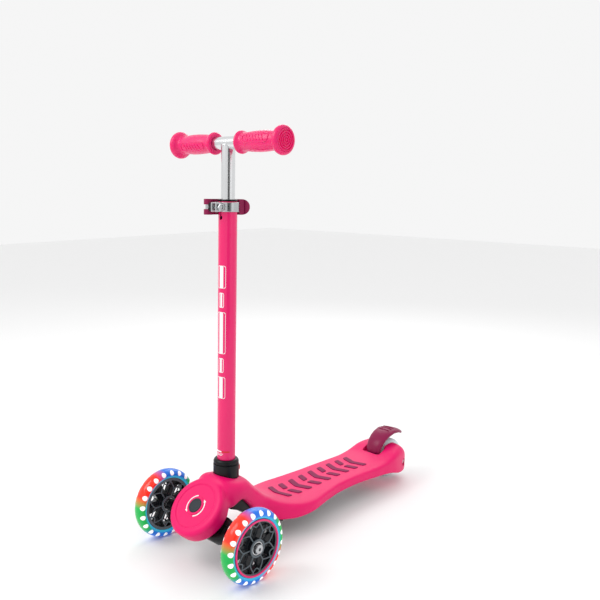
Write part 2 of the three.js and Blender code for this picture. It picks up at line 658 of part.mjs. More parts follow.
// The rounded outside of a tyre, from the inner edge over the tread and back.
function tread(radius, inner, half) {
  const side = [
    [inner, half - 1.6], [inner + 1, half - 0.8], [(inner + radius) / 2 - 1.2, half],
    [radius - 3.4, half - 2], [radius - 0.7, half - 6.4],
  ];
  return [...side.map(([r, z]) => [r, -z]), [radius, 0], ...[...side].reverse()];
}

function buildFrontWheel(side) {
  const name = side > 0 ? "left" : "right";
  const place = [AXLE_U, (side * TRACK) / 2, AXLE_W];
  const wheel = frameAt(steering, place);
  const axis = frameAt(wheel, [0, 0, 0], side > 0 ? TO_Y : TO_MINUS_Y);
  const rim = FRONT_WHEEL_R - 14;
  const half = WHEEL_W / 2;
  const core = union(
    hubBody(14.5),
    ring(rim, rim - 4.5, 2 - half, half - 2, 56),
    spokes(6, 13.5, 27, rim - 3, 5, 5),
  );
  piece(axis, `${name}_wheel_core`, core, GREY);
  const r = rim + GAP;
  piece(axis, `${name}_tyre`, turned([
    [r, -6.3], ...tread(FRONT_WHEEL_R, r, half), [r, 6.3], [r + 5.1, 6.3], [r + 5.1, -6.3],
  ], 56), CLEAR);
  piece(axis, `${name}_led_ring`, ring(r + 4.8, r, -6, 6, 56), LED);
  piece(axis, `${name}_trim_ring`, ring(rim - 0.4, rim - 3.6, half - 2 + GAP, half - 0.1, 56), PINK);
  piece(axis, `${name}_bearing_outer`, bearing(), STEEL, [0, 0, half - 3.9]);
  piece(axis, `${name}_bearing_inner`, bearing(), STEEL, [0, 0, 3.9 - half]);
  piece(axis, `${name}_spacer`, ring(BOLT_R + 2, BOLT_R + GAP, -half - 4.3, -half - 0.1, 20), STEEL);
  piece(axis, `${name}_axle_bolt`, cut(
    turned([
      [0, -half - 28], [BOLT_R, -half - 28], [BOLT_R, half + 0.4], [BOLT_R + 3.4, half + 0.4],
      [BOLT_R + 3.4, half + 3.6], [BOLT_R + 2.4, half + 4.6], [0, half + 4.6],
    ], 24),
    hexagon(2.9, half + 1.6, half + 6),
  ), STEEL);
}

function buildRearWheel() {
  const axis = frameAt(chassis, [REAR_AXLE_X, 0, REAR_WHEEL_R], TO_Y);
  const rim = REAR_WHEEL_R - 12;
  const half = WHEEL_W / 2;
  piece(axis, "rear_wheel_core", union(
    hubBody(14.5), ring(rim, rim - 5, 2 - half, half - 2, 48), spokes(6, 13.5, 17, rim - 3, 4, 5),
  ), GREY);
  const r = rim + GAP;
  piece(axis, "rear_tyre", turned(tread(REAR_WHEEL_R, r, half), 48), CLEAR);
  piece(axis, "rear_bearing_left", bearing(), STEEL, [0, 0, half - 3.9]);
  piece(axis, "rear_bearing_right", bearing(), STEEL, [0, 0, 3.9 - half]);
  piece(axis, "rear_spacer_left", ring(BOLT_R + 2, BOLT_R + GAP, half + 0.1, WELL_HALF - GAP, 20), STEEL);
  piece(axis, "rear_spacer_right", ring(BOLT_R + 2, BOLT_R + GAP, GAP - WELL_HALF, -half - 0.1, 20), STEEL);
  const seat = AXLE_RECESS + GAP;
  piece(axis, "rear_axle_bolt", cut(
    turned([
      [0, -seat - 3.7], [BOLT_R, -seat - 3.7], [BOLT_R, seat], [BOLT_R + 3.4, seat],
      [BOLT_R + 3.4, seat + 2.7], [BOLT_R + 2.6, seat + 3.5], [0, seat + 3.5],
    ], 24),
    hexagon(2.9, seat + 1.1, seat + 6),
  ), STEEL);
  const nut = cut(hexagon(BOLT_R + 3.4, -seat - 4.1, -seat), rod(BOLT_R + GAP, -60, -30, 20));
  piece(axis, "rear_axle_nut", nut, STEEL);
}

// ---- rear brake ---------------------------------------------------------
function buildBrake() {
  const rows = FENDER.map(([dx, z, half, thick], i) => {
    const before = FENDER[Math.max(i - 1, 0)];
    const after = FENDER[Math.min(i + 1, FENDER.length - 1)];
    const along = new THREE.Vector2(after[0] - before[0], after[1] - before[1]).normalize();
    const out = new THREE.Vector2(along.y, -along.x);
    const ys = [1, 0.88, 0.6, 0, -0.6, -0.88, -1];
    const sag = (t) => 4.2 * (1 - t * t) - 4.2;
    const at = (t, h) => new THREE.Vector3(REAR_AXLE_X + dx + out.x * h, t * half, z + out.y * h);
    return [
      ...ys.map((t) => at(t, sag(t) - (Math.abs(t) === 1 ? thick * 0.3 : 0))),
      ...[...ys].reverse().map((t) => at(t, sag(t) - thick + (Math.abs(t) === 1 ? thick * 0.3 : 0))),
    ];
  });
  const pin = matrixOf([HINGE_X, 0, HINGE_Z], TO_Y);
  const hub = rod(5, 2.5 - WELL_HALF, WELL_HALF - 9, 24, pin);
  const web = block([4.4, 9.4, 11.6], [HINGE_X - 0.4, -1.4, HINGE_Z + 7.3]);
  // The pad is hollowed to the tyre as it stands once the brake is pressed.
  const [dx, dz] = [REAR_AXLE_X - HINGE_X, REAR_WHEEL_R - HINGE_Z];
  const tyre = rod(REAR_WHEEL_R + PAD_CLEARANCE, -20, 20, 64, matrixOf([
    HINGE_X + dx * Math.cos(PRESS) + dz * Math.sin(PRESS), 0,
    HINGE_Z - dx * Math.sin(PRESS) + dz * Math.cos(PRESS),
  ], TO_Y));
  const pad = cut(block([26, 14, 18], [REAR_AXLE_X + 1, 0, FENDER[6][1] - 12.4]), tyre);
  const fender = cut(union(loft(rows), hub, web, pad), rod(2.3, -30, 30, 16, pin));
  piece(chassis, "brake_fender", fender, BURGUNDY);
  piece(chassis, "brake_pin", rod(2, -WELL_HALF - 6.7, WELL_HALF + 6.7, 16, pin), STEEL);
  piece(chassis, "brake_spring", coil(3.4, 0.6, WELL_HALF - 7.9, WELL_HALF - 1.1, 3, pin), STEEL);
}

buildBar();
buildStem();
buildClamp();
buildCollar();
buildDeck();
buildSteering();
buildFrontWheel(1);
buildFrontWheel(-1);
buildRearWheel();
buildBrake();

export default scooter;
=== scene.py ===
"""Three-wheeled kick scooter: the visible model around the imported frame.

Lengths in the classes are millimetres in the scooter's own sub-frames; every mesh is put
into the row frame in metres once, when it becomes an object.
"""
import json
import logging
import math
from dataclasses import dataclass, field
from enum import Enum
from typing import Callable, Iterable, Optional, Sequence

import bmesh
import bpy
from mathutils import Matrix, Vector
from mathutils.bvhtree import BVHTree

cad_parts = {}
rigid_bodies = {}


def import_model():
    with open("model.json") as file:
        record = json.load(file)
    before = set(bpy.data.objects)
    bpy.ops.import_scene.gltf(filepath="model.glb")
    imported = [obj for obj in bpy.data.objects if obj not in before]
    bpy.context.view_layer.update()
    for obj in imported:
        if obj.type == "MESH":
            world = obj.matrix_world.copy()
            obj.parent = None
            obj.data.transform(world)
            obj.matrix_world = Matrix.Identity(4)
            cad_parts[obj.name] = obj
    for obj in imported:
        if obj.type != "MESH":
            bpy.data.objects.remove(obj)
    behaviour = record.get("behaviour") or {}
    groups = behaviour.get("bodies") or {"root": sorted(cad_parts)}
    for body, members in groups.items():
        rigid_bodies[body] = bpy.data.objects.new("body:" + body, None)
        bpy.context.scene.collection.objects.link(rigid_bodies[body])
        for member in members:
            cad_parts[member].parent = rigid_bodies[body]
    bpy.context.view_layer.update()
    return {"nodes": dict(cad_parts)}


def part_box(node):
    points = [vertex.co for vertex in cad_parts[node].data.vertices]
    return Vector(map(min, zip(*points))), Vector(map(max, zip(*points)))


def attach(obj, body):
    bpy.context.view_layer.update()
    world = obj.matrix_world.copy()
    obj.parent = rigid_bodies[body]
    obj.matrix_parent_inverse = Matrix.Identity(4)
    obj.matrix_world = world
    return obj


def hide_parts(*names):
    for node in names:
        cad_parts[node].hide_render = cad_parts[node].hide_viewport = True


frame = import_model()
log = logging.getLogger("scooter")

Point2 = tuple[float, float]
Colour = tuple[float, float, float]

MM = 0.001
CHASSIS = Matrix.Translation((240, 0, 0))
STEM = CHASSIS @ Matrix.Translation((-43, 0, 0)) @ Matrix.Rotation(math.radians(-1), 4, "Y")
STEERING = CHASSIS @ Matrix.Translation((22, 0, 97)) @ Matrix.Rotation(math.radians(45), 4, "Y")
TO_LEFT = Matrix.Rotation(math.radians(-90), 4, "X")
TO_RIGHT = Matrix.Rotation(math.radians(90), 4, "X")
TO_FRONT = Matrix.Rotation(math.radians(90), 4, "Y")
TO_BACK = Matrix.Rotation(math.radians(-90), 4, "Y")


# ---- mesh helpers -------------------------------------------------------------------------
def rounded(points: Sequence[Point2], radii: Sequence[float], steps: int = 5) -> list[Point2]:
    """Rounds the corners of a closed outline.

    Args:
        points: The corners in order.
        radii: How far each corner's rounding reaches along its sides; 0 keeps it sharp.
        steps: Stretches in each rounding.

    Returns:
        The outline with its roundings as short stretches.
    """
    out: list[Point2] = []
    count = len(points)
    for i, (x, y) in enumerate(points):
        reach = radii[i]
        here = Vector((x, y))
        if reach <= 0:
            out.append((x, y))
            continue
        before = Vector(points[i - 1]) - here
        after = Vector(points[(i + 1) % count]) - here
        start = here + before.normalized() * min(reach, 0.49 * before.length)
        end = here + after.normalized() * min(reach, 0.49 * after.length)
        for k in range(steps + 1):
            t = k / steps
            spot = start * (1 - t) ** 2 + here * 2 * t * (1 - t) + end * t ** 2
            out.append((spot.x, spot.y))
    return out


def arc(radius: float, start: float, end: float, steps: int, centre: Point2 = (0, 0)) -> list[Point2]:
    """Points on an arc, from start to end in degrees, both ends included."""
    angles = [math.radians(start + (end - start) * k / steps) for k in range(steps + 1)]
    return [(centre[0] + radius * math.cos(a), centre[1] + radius * math.sin(a)) for a in angles]


def turned(profile: Sequence[Point2], steps: int = 96) -> bmesh.types.BMesh:
    """Turns an outline of (radius, height) about Z.

    Args:
        profile: A closed ring section, or an open one whose two ends lie on the axis.
        steps: Stretches in a full turn.

    Returns:
        The closed turned shape.
    """
    bm = bmesh.new()
    verts = [bm.verts.new((r, 0, z)) for r, z in profile]
    open_ended = profile[0][0] == 0 and profile[-1][0] == 0
    pairs = list(zip(verts, verts[1:])) + ([] if open_ended else [(verts[-1], verts[0])])
    edges = [bm.edges.new(pair) for pair in pairs]
    bmesh.ops.spin(bm, geom=verts + edges, cent=(0, 0, 0), axis=(0, 0, 1), angle=2 * math.pi,
                   steps=steps, use_merge=True, use_duplicate=False)
    bmesh.ops.remove_doubles(bm, verts=bm.verts, dist=1e-4)
    bmesh.ops.recalc_face_normals(bm, faces=bm.faces)
    return bm


def hexagon(radius: float) -> list[Point2]:
    """The corners of a hexagon."""
    angles = [math.radians(60 * k) for k in range(6)]
    return [(radius * math.cos(a), radius * math.sin(a)) for a in angles]


def disc_section(radius: float, low: float, high: float, edge: float) -> list[Point2]:
    """Section of a solid round piece with rounded rims, for turned()."""
    return rounded([(0, low), (radius, low), (radius, high), (0, high)], [0, edge, edge, 0])


def ring_section(outer: float, inner: float, low: float, high: float, edge: float) -> list[Point2]:
    """Section of a round sleeve with rounded rims, for turned()."""
    return rounded([(inner, low), (outer, low), (outer, high), (inner, high)], [edge] * 4)


def prism(outline: Sequence[Point2], low: float, high: float, edge: float = 0,
          segments: int = 3) -> bmesh.types.BMesh:
    """Raises a flat outline into a solid with bevelled rims.

    Args:
        outline: Points of (x, y) in order.
        low: Height of its underside.
        high: Height of its top.
        edge: Width of the bevel; 0 leaves the rims sharp.
        segments: Stretches in the bevel.

    Returns:
        The closed solid.
    """
    bm = bmesh.new()
    base = bm.faces.new([bm.verts.new((x, y, low)) for x, y in outline])
    grown = bmesh.ops.extrude_face_region(bm, geom=[base])
    top = [g for g in grown["geom"] if isinstance(g, bmesh.types.BMVert)]
    bmesh.ops.translate(bm, verts=top, vec=(0, 0, high - low))
    bmesh.ops.recalc_face_normals(bm, faces=bm.faces)
    if edge > 0:
        rims = [e for e in bm.edges if abs(e.verts[0].co.z - e.verts[1].co.z) < 1e-6]
        bmesh.ops.bevel(bm, geom=rims, offset=edge, segments=segments, affect="EDGES",
                        profile=0.5, material=-1, clamp_overlap=True)
    return bm


def block(size: Sequence[float], edge: float, segments: int = 3) -> bmesh.types.BMesh:
    """A box about the origin with all its edges rounded."""
    bm = bmesh.new()
    bmesh.ops.create_cube(bm, size=1)
    bmesh.ops.scale(bm, verts=bm.verts, vec=size)
    if edge > 0:
        bmesh.ops.bevel(bm, geom=bm.edges, offset=edge, segments=segments, affect="EDGES",
                        profile=0.5, material=-1, clamp_overlap=True)
    return bm


def lofted(loops: Sequence[Sequence[Vector]]) -> bmesh.types.BMesh:
    """A closed skin through rings of points that all have the same count."""
    bm = bmesh.new()
    rings = []
    for loop in loops:
        verts = [bm.verts.new(p) for p in loop]
        rings.append([bm.edges.new((verts[i - 1], verts[i])) for i in range(len(verts))])
    for before, after in zip(rings, rings[1:]):
        bmesh.ops.bridge_loops(bm, edges=before + after)
    for end in (rings[0], rings[-1]):
        bmesh.ops.contextual_create(bm, geom=end)
    bmesh.ops.recalc_face_normals(bm, faces=bm.faces)
    return bm


def at(x: float, y: float, z: float) -> Matrix:
    """The matrix of a plain shift."""
    return Matrix.Translation((x, y, z))


def moved(bm: bmesh.types.BMesh, matrix: Matrix) -> bmesh.types.BMesh:
    """The same mesh, put through a matrix."""
    bmesh.ops.transform(bm, matrix=matrix, verts=bm.verts)
    return bm


def joined(parts: Iterable[bmesh.types.BMesh]) -> bmesh.types.BMesh:
    """One mesh that holds all the parts, which are freed."""
    whole = bmesh.new()
    for part in parts:
        holder = bpy.data.meshes.new("holder")
        part.to_mesh(holder)
        part.free()
        whole.from_mesh(holder)
        bpy.data.meshes.remove(holder)
    return whole


def wires(paths: Sequence[Sequence[Vector]], radius: float, closed: bool = False,
          sides: int = 3) -> bmesh.types.BMesh:
    """Round wires along smooth paths.

    Args:
        paths: The points of each wire.
        radius: Half of the wire's thickness.
        closed: Whether each wire runs back into its start.
        sides: How finely the section is rounded.

    Returns:
        The wires as one mesh.
    """
    data = bpy.data.curves.new("wires", "CURVE")
    data.dimensions = "3D"
    data.bevel_depth = radius
    data.bevel_resolution = sides
    data.use_fill_caps = True
    for path in paths:
        line = data.splines.new("POLY")
        line.points.add(len(path) - 1)
        line.use_cyclic_u = closed
        for point, spot in zip(line.points, path):
            point.co = (*spot, 1)
    holder = bpy.data.objects.new("wires", data)
    bpy.context.scene.collection.objects.link(holder)
    mesh = bpy.data.meshes.new_from_object(holder.evaluated_get(bpy.context.evaluated_depsgraph_get()))
    bm = bmesh.new()
    bm.from_mesh(mesh)
    bmesh.ops.remove_doubles(bm, verts=bm.verts, dist=1e-5)
    bmesh.ops.recalc_face_normals(bm, faces=bm.faces)
    bpy.data.objects.remove(holder)
    bpy.data.curves.remove(data)
    bpy.data.meshes.remove(mesh)
    return bm


def as_object(name: str, bm: bmesh.types.BMesh, place: Matrix = Matrix.Identity(4),
              sharp: float = 35) -> bpy.types.Object:
    """Makes a mesh in millimetres into an object in the row frame.

    Args:
        name: The object's name.
        bm: Its shape in its own sub-frame; it is freed.
        place: The sub-frame.
        sharp: Angle in degrees past which an edge looks sharp.

    Returns:
        The object, which sits at the origin with its place in its mesh.
    """
    bmesh.ops.transform(bm, matrix=Matrix.Scale(MM, 4) @ place, verts=bm.verts)
    mesh = bpy.data.meshes.new(name)
    bm.to_mesh(mesh)
    bm.free()
    mesh.shade_smooth()
    mesh.set_sharp_from_angle(angle=math.radians(sharp))
    piece = bpy.data.objects.new(name, mesh)
    bpy.context.scene.collection.objects.link(piece)
    return piece


def settle(piece: bpy.types.Object, sharp: Optional[float] = 35) -> None:
    """Applies all the modifiers of a piece to its mesh."""
    view = piece.evaluated_get(bpy.context.evaluated_depsgraph_get())
    mesh = bpy.data.meshes.new_from_object(view)
    piece.modifiers.clear()
    old, piece.data = piece.data, mesh
    mesh.name = piece.name
    bpy.data.meshes.remove(old)
    if sharp is not None:
        mesh.shade_smooth()
        mesh.set_sharp_from_angle(angle=math.radians(sharp))


def combine(piece: bpy.types.Object, tool: bpy.types.Object, operation: str = "UNION",
            sharp: Optional[float] = 35) -> None:
    """Joins an object to a piece, which uses it up; the arguments are as for merge()."""
    step = piece.modifiers.new("merge", "BOOLEAN")
    step.operation = operation
    step.solver = "EXACT"
    step.object = tool
    settle(piece, sharp)
    bpy.data.objects.remove(tool)


def merge(piece: bpy.types.Object, shape: bmesh.types.BMesh, place: Matrix = Matrix.Identity(4),
          operation: str = "UNION", sharp: Optional[float] = 35) -> None:
    """Joins a shape given in millimetres to a piece, or keeps only what both share.

    Args:
        piece: The object that changes.
        shape: The other solid in its own sub-frame; it is freed.
        place: The sub-frame.
        operation: UNION, INTERSECT or DIFFERENCE.
        sharp: Angle in degrees past which an edge looks sharp, or None to leave the shading.
    """
    combine(piece, as_object("tool", shape, place), operation, sharp)


def carve(piece: bpy.types.Object, cutter: bmesh.types.BMesh, place: Matrix = Matrix.Identity(4),
          sharp: Optional[float] = 35) -> None:
    """Takes a shape given in millimetres out of a piece."""
    merge(piece, cutter, place, "DIFFERENCE", sharp)


def fit_out(piece: bpy.types.Object, body: str, slot: str, finish: "Finish | LitTyreFinish",
            *nodes: str) -> None:
    """Rides a piece on its body and dresses it.

    Args:
        piece: The finished object.
        body: The body it moves with.
        slot: Not used.
        finish: Its surface.
        nodes: The CAD nodes it stands for, if any.
    """
    piece.data.materials.clear()
    piece.data.materials.append(finish.material())
    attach(piece, body)
    if nodes:
        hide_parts(*nodes)
    log.info("%s rides on %s", piece.name, body)


# ---- finishes -----------------------------------------------------------------------------
class Groups:
    """The shader node groups that several finishes share, each built once."""

    @staticmethod
    def _start(name: str, inputs: dict[str, tuple[str, object]], outputs: dict[str, str]
               ) -> tuple[bpy.types.NodeTree, Callable, bpy.types.Node, bpy.types.Node]:
        """Opens an empty group and returns its tree, a wiring helper and its two end nodes."""
        tree = bpy.data.node_groups.new(name, "ShaderNodeTree")
        for key, (kind, value) in inputs.items():
            made = tree.interface.new_socket(name=key, in_out="INPUT", socket_type=kind)
            if value is not None:
                made.default_value = value
        for key, kind in outputs.items():
            tree.interface.new_socket(name=key, in_out="OUTPUT", socket_type=kind)
        entry = tree.nodes.new("NodeGroupInput")
        leave = tree.nodes.new("NodeGroupOutput")

        def node(kind: str, links: dict, **values: object) -> bpy.types.Node:
            """Adds a node, sets its properties and wires its inputs."""
            made = tree.nodes.new(kind)
            for key, value in values.items():
                setattr(made, key, value)
            for key, source in links.items():
                if isinstance(source, bpy.types.NodeSocket):
                    tree.links.new(source, made.inputs[key])
                else:
                    made.inputs[key].default_value = source
            return made

        return tree, node, entry, leave

    @classmethod
    def grain(cls) -> bpy.types.NodeTree:
        """Fine texture of a moulded or coated surface, with a slow change of tone."""
        if "surface_grain" in bpy.data.node_groups:
            return bpy.data.node_groups["surface_grain"]
        tree, node, entry, leave = cls._start(
            "surface_grain",
            {"Vector": ("NodeSocketVector", None), "Colour": ("NodeSocketColor", (1, 1, 1, 1)),
             "Tone": ("NodeSocketFloat", 0.06), "Roughness": ("NodeSocketFloat", 0.4),
             "Spread": ("NodeSocketFloat", 0.05), "Scale": ("NodeSocketFloat", 900.0)},
            {"Colour": "NodeSocketColor", "Roughness": "NodeSocketFloat", "Height": "NodeSocketFloat"})
        fine = node("ShaderNodeTexNoise", {"Vector": entry.outputs["Vector"],
                                           "Scale": entry.outputs["Scale"], "Detail": 3.0})
        broad = node("ShaderNodeTexNoise", {"Vector": entry.outputs["Vector"], "Scale": 22.0,
                                            "Detail": 2.0})
        centred = node("ShaderNodeMath", {0: broad.outputs["Fac"], 1: 0.5}, operation="SUBTRACT")
        amount = node("ShaderNodeMath", {0: centred.outputs[0], 1: entry.outputs["Tone"], 2: 1.0},
                      operation="MULTIPLY_ADD")
        toned = node("ShaderNodeVectorMath", {0: entry.outputs["Colour"], "Scale": amount.outputs[0]},
                     operation="SCALE")
        rough = node("ShaderNodeMath", {0: centred.outputs[0], 1: entry.outputs["Spread"],
                                        2: entry.outputs["Roughness"]}, operation="MULTIPLY_ADD")
        tree.links.new(toned.outputs["Vector"], leave.inputs["Colour"])
        tree.links.new(rough.outputs[0], leave.inputs["Roughness"])
        tree.links.new(fine.outputs["Fac"], leave.inputs["Height"])
        return tree

    @classmethod
    def wear(cls) -> bpy.types.NodeTree:
        """Light scuffs and a trace of dust that dull a surface here and there."""
        if "light_wear" in bpy.data.node_groups:
            return bpy.data.node_groups["light_wear"]
        tree, node, entry, leave = cls._start(
            "light_wear",
            {"Vector": ("NodeSocketVector", None), "Colour": ("NodeSocketColor", (1, 1, 1, 1)),
             "Worn colour": ("NodeSocketColor", (0.6, 0.6, 0.6, 1)),
             "Roughness": ("NodeSocketFloat", 0.4), "Amount": ("NodeSocketFloat", 0.08)},
            {"Colour": "NodeSocketColor", "Roughness": "NodeSocketFloat"})
        stretch = node("ShaderNodeMapping", {"Vector": entry.outputs["Vector"], "Scale": (60, 60, 420),
                                             "Rotation": (0.4, 0.9, 0.2)})
        lines = node("ShaderNodeTexNoise", {"Vector": stretch.outputs[0], "Scale": 1.0, "Detail": 4.0})
        patches = node("ShaderNodeTexNoise", {"Vector": entry.outputs["Vector"], "Scale": 38.0,
                                              "Detail": 3.0})
        both = node("ShaderNodeMath", {0: lines.outputs["Fac"], 1: patches.outputs["Fac"]},
                    operation="MULTIPLY")
        mask = node("ShaderNodeMapRange", {"Value": both.outputs[0], "From Min": 0.3, "From Max": 0.5,
                                           "To Min": 0.0, "To Max": entry.outputs["Amount"]})
        mixed = node("ShaderNodeMix", {0: mask.outputs[0], 6: entry.outputs["Colour"],
                                       7: entry.outputs["Worn colour"]}, data_type="RGBA")
        rough = node("ShaderNodeMath", {0: mask.outputs[0], 1: 0.6, 2: entry.outputs["Roughness"]},
                     operation="MULTIPLY_ADD")
        tree.links.new(mixed.outputs[2], leave.inputs["Colour"])
        tree.links.new(rough.outputs[0], leave.inputs["Roughness"])
        return tree

    @classmethod
    def lights(cls) -> bpy.types.NodeTree:
        """Six coloured stretches of glow round a wheel, with a row of white lamps in them."""
        if "light_ring" in bpy.data.node_groups:
            return bpy.data.node_groups["light_ring"]
        tree, node, entry, leave = cls._start(
            "light_ring",
            {"Vector": ("NodeSocketVector", None),
             "Core colour": ("NodeSocketColor", (0.02, 0.44, 0.68, 1)),
             "Lamp radius": ("NodeSocketFloat", 0.0545), "Lamp offset": ("NodeSocketFloat", 0.0085),
             "Core edge": ("NodeSocketFloat", 0.0515), "Lamps": ("NodeSocketFloat", 20.0)},
            {"Colour": "NodeSocketColor", "Glow": "NodeSocketColor", "Lamp": "NodeSocketFloat"})
        axes = node("ShaderNodeSeparateXYZ", {0: entry.outputs["Vector"]})
        angle = node("ShaderNodeMath", {0: axes.outputs["Z"], 1: axes.outputs["X"]}, operation="ARCTAN2")
        turn = node("ShaderNodeMath", {0: angle.outputs[0], 1: 2 * math.pi}, operation="DIVIDE")
        share = node("ShaderNodeMath", {0: turn.outputs[0]}, operation="FRACT")
        zones = node("ShaderNodeValToRGB", {0: share.outputs[0]})
        ramp = zones.color_ramp
        ramp.interpolation = "LINEAR"
        hues = [(0.0, 0.37, 0.06), (0.83, 0.025, 0.01), (0.006, 0.13, 0.58)]
        marks = []
        first_zone, zone, hold = -13, 60, 0.058
        for k in range(7):
            middle = (first_zone + zone * k) / 360
            marks += [(middle - hold, hues[k % 3]), (middle + hold, hues[k % 3])]
        marks = [m for m in marks if 0 <= m[0] <= 1]
        for k, (spot, hue) in enumerate(marks):
            stop = ramp.elements[k] if k < 2 else ramp.elements.new(spot)
            stop.position = spot
            stop.color = (*hue, 1)
        flat = node("ShaderNodeCombineXYZ", {"X": axes.outputs["X"], "Y": axes.outputs["Z"]})
        radius = node("ShaderNodeVectorMath", {0: flat.outputs[0]}, operation="LENGTH")
        inward = node("ShaderNodeMapRange", {
            "Value": radius.outputs["Value"], "From Min": entry.outputs["Core edge"],
            "From Max": 0.0475, "To Min": 0.0, "To Max": 1.0})
        toned = node("ShaderNodeMix", {0: inward.outputs[0], 6: zones.outputs[0],
                                       7: entry.outputs["Core colour"]}, data_type="RGBA")
        count = node("ShaderNodeMath", {0: turn.outputs[0], 1: entry.outputs["Lamps"]},
                     operation="MULTIPLY")
        step = node("ShaderNodeMath", {0: count.outputs[0]}, operation="FRACT")
        along = node("ShaderNodeMath", {0: step.outputs[0], 1: 0.5}, operation="SUBTRACT")
        along_scaled = node("ShaderNodeMath", {0: along.outputs[0], 1: 3.9}, operation="MULTIPLY")
        out = node("ShaderNodeMath", {0: radius.outputs["Value"], 1: entry.outputs["Lamp radius"]},
                   operation="SUBTRACT")
        out_scaled = node("ShaderNodeMath", {0: out.outputs[0], 1: 1 / 0.0042}, operation="MULTIPLY")
        side = node("ShaderNodeMath", {0: axes.outputs["Y"]}, operation="ABSOLUTE")
        across = node("ShaderNodeMath", {0: side.outputs[0], 1: entry.outputs["Lamp offset"]},
                      operation="SUBTRACT")
        across_scaled = node("ShaderNodeMath", {0: across.outputs[0], 1: 1 / 0.0075}, operation="MULTIPLY")
        spot = node("ShaderNodeCombineXYZ", {"X": along_scaled.outputs[0], "Y": out_scaled.outputs[0],
                                             "Z": across_scaled.outputs[0]})
        far = node("ShaderNodeVectorMath", {0: spot.outputs[0]}, operation="LENGTH")
        lamp = node("ShaderNodeMapRange", {"Value": far.outputs["Value"], "From Min": 1.08, "From Max": 0.86,
                                           "To Min": 0.0, "To Max": 1.0})
        lit = node("ShaderNodeMix", {0: lamp.outputs[0], 6: toned.outputs[2], 7: (1, 1, 1, 1)},
                   data_type="RGBA")
        tree.links.new(lit.outputs[2], leave.inputs["Colour"])
        tree.links.new(lit.outputs[2], leave.inputs["Glow"])
        tree.links.new(lamp.outputs[0], leave.inputs["Lamp"])
        return tree


class Shading:
    """A material's node tree while it is being wired."""

    def __init__(self, name: str) -> None:
        """Opens a material that holds only its shader and its output."""
        self.material = bpy.data.materials.new(name)
        self.material.use_nodes = True
        self.tree = self.material.node_tree
        self.shader = self.tree.nodes["Principled BSDF"]
        self.spot = self.tree.nodes.new("ShaderNodeTexCoord").outputs["Object"]

    def place(self, scale: Sequence[float], location: Sequence[float] = (0, 0, 0)) -> bpy.types.NodeSocket:
        """Object coordinates, shifted and stretched."""
        mapping = self.tree.nodes.new("ShaderNodeMapping")
        mapping.inputs["Scale"].default_value = scale
        mapping.inputs["Location"].default_value = location
        self.tree.links.new(self.spot, mapping.inputs["Vector"])
        return mapping.outputs[0]

    def group(self, tree: bpy.types.NodeTree, **values: object) -> bpy.types.Node:
        """Adds a shared group and sets or wires its inputs, named with _ for a space."""
        node = self.tree.nodes.new("ShaderNodeGroup")
        node.node_tree = tree
        for key, value in values.items():
            socket = node.inputs[key.replace("_", " ")]
            if isinstance(value, bpy.types.NodeSocket):
                self.tree.links.new(value, socket)
            else:
                socket.default_value = value
        return node

    def feed(self, source: bpy.types.NodeSocket, socket: str) -> None:
        """Wires a value into the shader."""
        self.tree.links.new(source, self.shader.inputs[socket])

    def relief(self, height: bpy.types.NodeSocket, depth: float, strength: float) -> None:
        """Turns a height into the shader's normal."""
        bump = self.tree.nodes.new("ShaderNodeBump")
        bump.inputs["Distance"].default_value = depth
        bump.inputs["Strength"].default_value = strength
        self.tree.links.new(height, bump.inputs["Height"])
        self.tree.links.new(bump.outputs[0], self.shader.inputs["Normal"])

    def fix(self, **values: object) -> None:
        """Sets plain values on the shader's sockets, named with _ for a space."""
        for key, value in values.items():
            self.shader.inputs[key.replace("_", " ")].default_value = value


@dataclass(frozen=True)
class Finish:
    """A surface: its colour, gloss, fine texture and light wear."""

    name: str
    colour: Colour
    rough: float = 0.4
    metal: float = 0.0
    tone: float = 0.08
    spread: float = 0.06
    scale: float = 900.0
    relief: float = 0.15
    stretch: tuple[float, float, float] = (1, 1, 1)
    wear: float = 0.05
    worn: Colour = (0.6, 0.55, 0.55)
    coat: float = 0.0
    coat_rough: float = 0.15
    deep: float = 0.0
    clear: float = 0.0
    gloss: float = 0.22

    def material(self) -> bpy.types.Material:
        """The finish as a material, built the first time it is asked for."""
        if self.name in bpy.data.materials:
            return bpy.data.materials[self.name]
        work = Shading(self.name)
        grain = work.group(Groups.grain(), Vector=work.place(self.stretch), Colour=(*self.colour, 1),
                           Tone=self.tone, Roughness=self.rough, Spread=self.spread, Scale=self.scale)
        wear = work.group(Groups.wear(), Vector=work.spot, Colour=grain.outputs["Colour"],
                          Worn_colour=(*self.worn, 1), Roughness=grain.outputs["Roughness"],
                          Amount=self.wear)
        work.feed(wear.outputs["Colour"], "Base Color")
        work.feed(wear.outputs["Roughness"], "Roughness")
        work.relief(grain.outputs["Height"], 0.00006, self.relief)
        work.fix(Metallic=self.metal, Coat_Weight=self.coat, Coat_Roughness=self.coat_rough,
                 Transmission_Weight=self.clear)
        if self.metal == 0 and self.clear == 0:
            work.fix(Specular_IOR_Level=self.gloss)
        if self.deep > 0:
            work.fix(Subsurface_Weight=self.deep, Subsurface_Radius=(1.0, 0.25, 0.4),
                     Subsurface_Scale=0.004)
        return work.material


